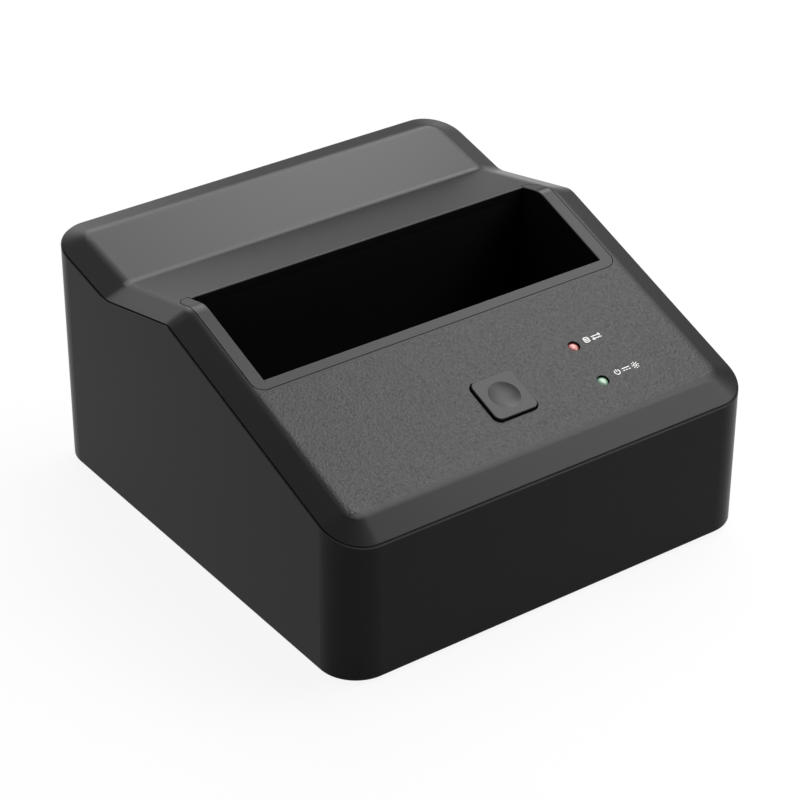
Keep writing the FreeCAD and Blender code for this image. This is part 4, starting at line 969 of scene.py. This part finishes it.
def stand_by(x, middle=0.8, radius=0.75):
    """Broken ring with a bar through its gap, 1.6 mm wide."""
    ring = arc(x + middle, -0.05, radius, radius, 125, 415, 28)
    return [ring, [(x + middle, 0.85), (x + middle, 0.0)]]


def direct_current(x, length=2.4, rise=0.35, dash=0.6, step=0.9):
    """One long line over three short ones."""
    dashes = [[(x + step * i, -rise), (x + step * i + dash, -rise)] for i in range(3)]
    return [[(x, rise), (x + length, rise)]] + dashes


def light_rays(x, middle=1.1, radius=0.4, rays_from=0.75, rays_to=1.1):
    """Small lamp with eight rays round it, 2.2 mm wide."""
    turns = [math.radians(45 * i) for i in range(8)]
    rays = [[(x + middle + reach * math.cos(turn), reach * math.sin(turn))
             for reach in (rays_from, rays_to)] for turn in turns]
    return [arc(x + middle, 0, radius, radius, 0, 360)] + rays


def print_sign(name, middle, strokes):
    """Print strokes, given in millimetres, about a place on the panel."""
    points, edges = [], []
    for stroke in strokes:
        edges += [(len(points) + i, len(points) + i + 1) for i in range(len(stroke) - 1)]
        points += [(middle.x + x * MM, middle.y + y * MM, 0) for x, y in stroke]
    sign = grow(name, STROKES, "white_screen_ink", points, edges, width=STROKE_WIDTH, ink=INK_THICKNESS)
    sign.data.transform(PANEL)
    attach(sign, "case")


print_sign("data_sign", lamp_middles["data_lamp"] + Vector((3.6, 0.45, 0)) * MM,
           disk_stack(0) + two_arrows(2.4))
print_sign("power_sign", lamp_middles["power_lamp"] + Vector((4.3, 0.8, 0)) * MM,
           stand_by(0) + direct_current(2.5) + light_rays(5.5))

# %% [markdown]
# ## Floor and backdrop
# The dock stands on a sweep of white paper. A flat floor would end in a horizon, so the paper is flat
# under the dock and curves up all round, far away. Rays from the camera, and those mirrored or bent on
# their way, see it as white paper that still takes a faint shadow; other rays meet an ordinary pale
# surface, so the paper doesn't flood the plastic with light.

# %% Paper sweep
SWEEP_FLAT = 1.6
SWEEP_EDGE = 2.8
SWEEP_HEIGHT = 0.56
SWEEP_SIDES = 72
SWEEP_STEPS = 12


def sweep_ring(radius, height):
    """Ring of points round the dock."""
    turns = [2 * math.pi * i / SWEEP_SIDES for i in range(SWEEP_SIDES)]
    return [(radius * math.cos(turn), radius * math.sin(turn), height) for turn in turns]


points = sweep_ring(SWEEP_FLAT, 0)
for i in range(1, SWEEP_STEPS + 1):
    turn = math.pi / 2 * i / SWEEP_STEPS
    radius = SWEEP_FLAT + (SWEEP_EDGE - SWEEP_FLAT) * math.sin(turn)
    points += sweep_ring(radius, SWEEP_HEIGHT * (1 - math.cos(turn)))
faces = [tuple(range(SWEEP_SIDES))]
for i in range(SWEEP_STEPS):
    for j in range(SWEEP_SIDES):
        k = (j + 1) % SWEEP_SIDES
        low, high = i * SWEEP_SIDES, (i + 1) * SWEEP_SIDES
        faces.append((low + j, high + j, high + k, low + k))
sweep_mesh = bpy.data.meshes.new("paper_sweep")
sweep_mesh.from_pydata(points, [], faces)
sweep_mesh.shade_smooth()
sweep = bpy.data.objects.new("paper_sweep", sweep_mesh)
scene.collection.objects.link(sweep)
print("paper is flat for", SWEEP_FLAT, "m and", SWEEP_HEIGHT, "m high at its edge")

# %% White paper
FIBRE_MM = 4
PAPER_GLOW = 0.9
WHITE = "#ffffff"


def white_paper(tree, place, colour, fibre):
    """Pale matt paper that shows as white with a faint shadow."""
    path = add(tree, "ShaderNodeLightPath")
    direct = add(tree, "ShaderNodeMath", {
        0: path.outputs["Is Camera Ray"], 1: path.outputs["Is Glossy Ray"]}, operation="MAXIMUM")
    seen = add(tree, "ShaderNodeMath", {
        0: direct.outputs[0], 1: path.outputs["Is Transmission Ray"]}, operation="MAXIMUM")
    matt = add(tree, "ShaderNodeBsdfDiffuse", {"Color": drifting(tree, place, FIBRE_MM, colour, fibre)})
    glow = add(tree, "ShaderNodeEmission", {"Color": linear(WHITE), "Strength": 1.0})
    paper = add(tree, "ShaderNodeMixShader", {0: PAPER_GLOW, 1: matt.outputs[0], 2: glow.outputs[0]})
    return add(tree, "ShaderNodeMixShader", {
        0: seen.outputs[0], 1: matt.outputs[0], 2: paper.outputs[0]})


sweep_mesh.materials.append(new_material("white_paper", white_paper, "#e4e4e4", "#e8e8e8"))

# %% [markdown]
# ## Light
# Black plastic shows light mostly by mirroring it. One bare lamp would leave a hot spot, so a bank of
# softboxes stands to the right and behind, where the panel, the ramp and the plateau mirror it towards
# the camera, while the bevels on the left look past it and stay dark. Their powers were balanced so that
# white card on the panel would just render white. Weak ones on the left and a weak even sky keep the far
# sides from going black.

# %% Sky and softboxes
SKY_STRENGTH = 0.05
world = bpy.data.worlds.new("studio")
world.use_nodes = True
world.node_tree.nodes.clear()
sky = add(world.node_tree, "ShaderNodeBackground", {"Color": linear(WHITE), "Strength": SKY_STRENGTH})
add(world.node_tree, "ShaderNodeOutputWorld", {"Surface": sky.outputs[0]})
scene.world = world

LIGHT_AIM = Vector((0, 0, 30)) * MM
LIGHT_DISTANCE = 1.1
SOFTBOX_SIDE = 0.56
SOFTBOXES = {
    # name: azimuth from the front and elevation in degrees, power in watts
    "right_high": (90, 66, 6.6),
    "right_front": (60, 42, 4.6),
    "rear": (150, 42, 4.8),
    "right_rear": (120, 42, 3.3),
    "left": (270, 42, 0.7),
    "right_low": (123, 18, 0.4),
    "rear_low": (170, 26, 1.4),
    "right": (90, 40, 1.2),
    "rear_high": (180, 66, 0.65),
    "overhead": (0, 90, 0.3),
    "left_rear": (230, 52, 1.0),
}
for name, (azimuth, elevation, power) in SOFTBOXES.items():
    lamp_data = bpy.data.lights.new(name + "_softbox", "AREA")
    lamp_data.shape = "SQUARE"
    lamp_data.size = SOFTBOX_SIDE
    lamp_data.energy = power
    softbox = bpy.data.objects.new(lamp_data.name, lamp_data)
    aim(softbox, LIGHT_AIM, toward(math.radians(azimuth), math.radians(elevation)), LIGHT_DISTANCE)
scene.view_settings.view_transform = "Standard"
print("lit by", len(SOFTBOXES), "softboxes of", sum(row[2] for row in SOFTBOXES.values()), "W in all")
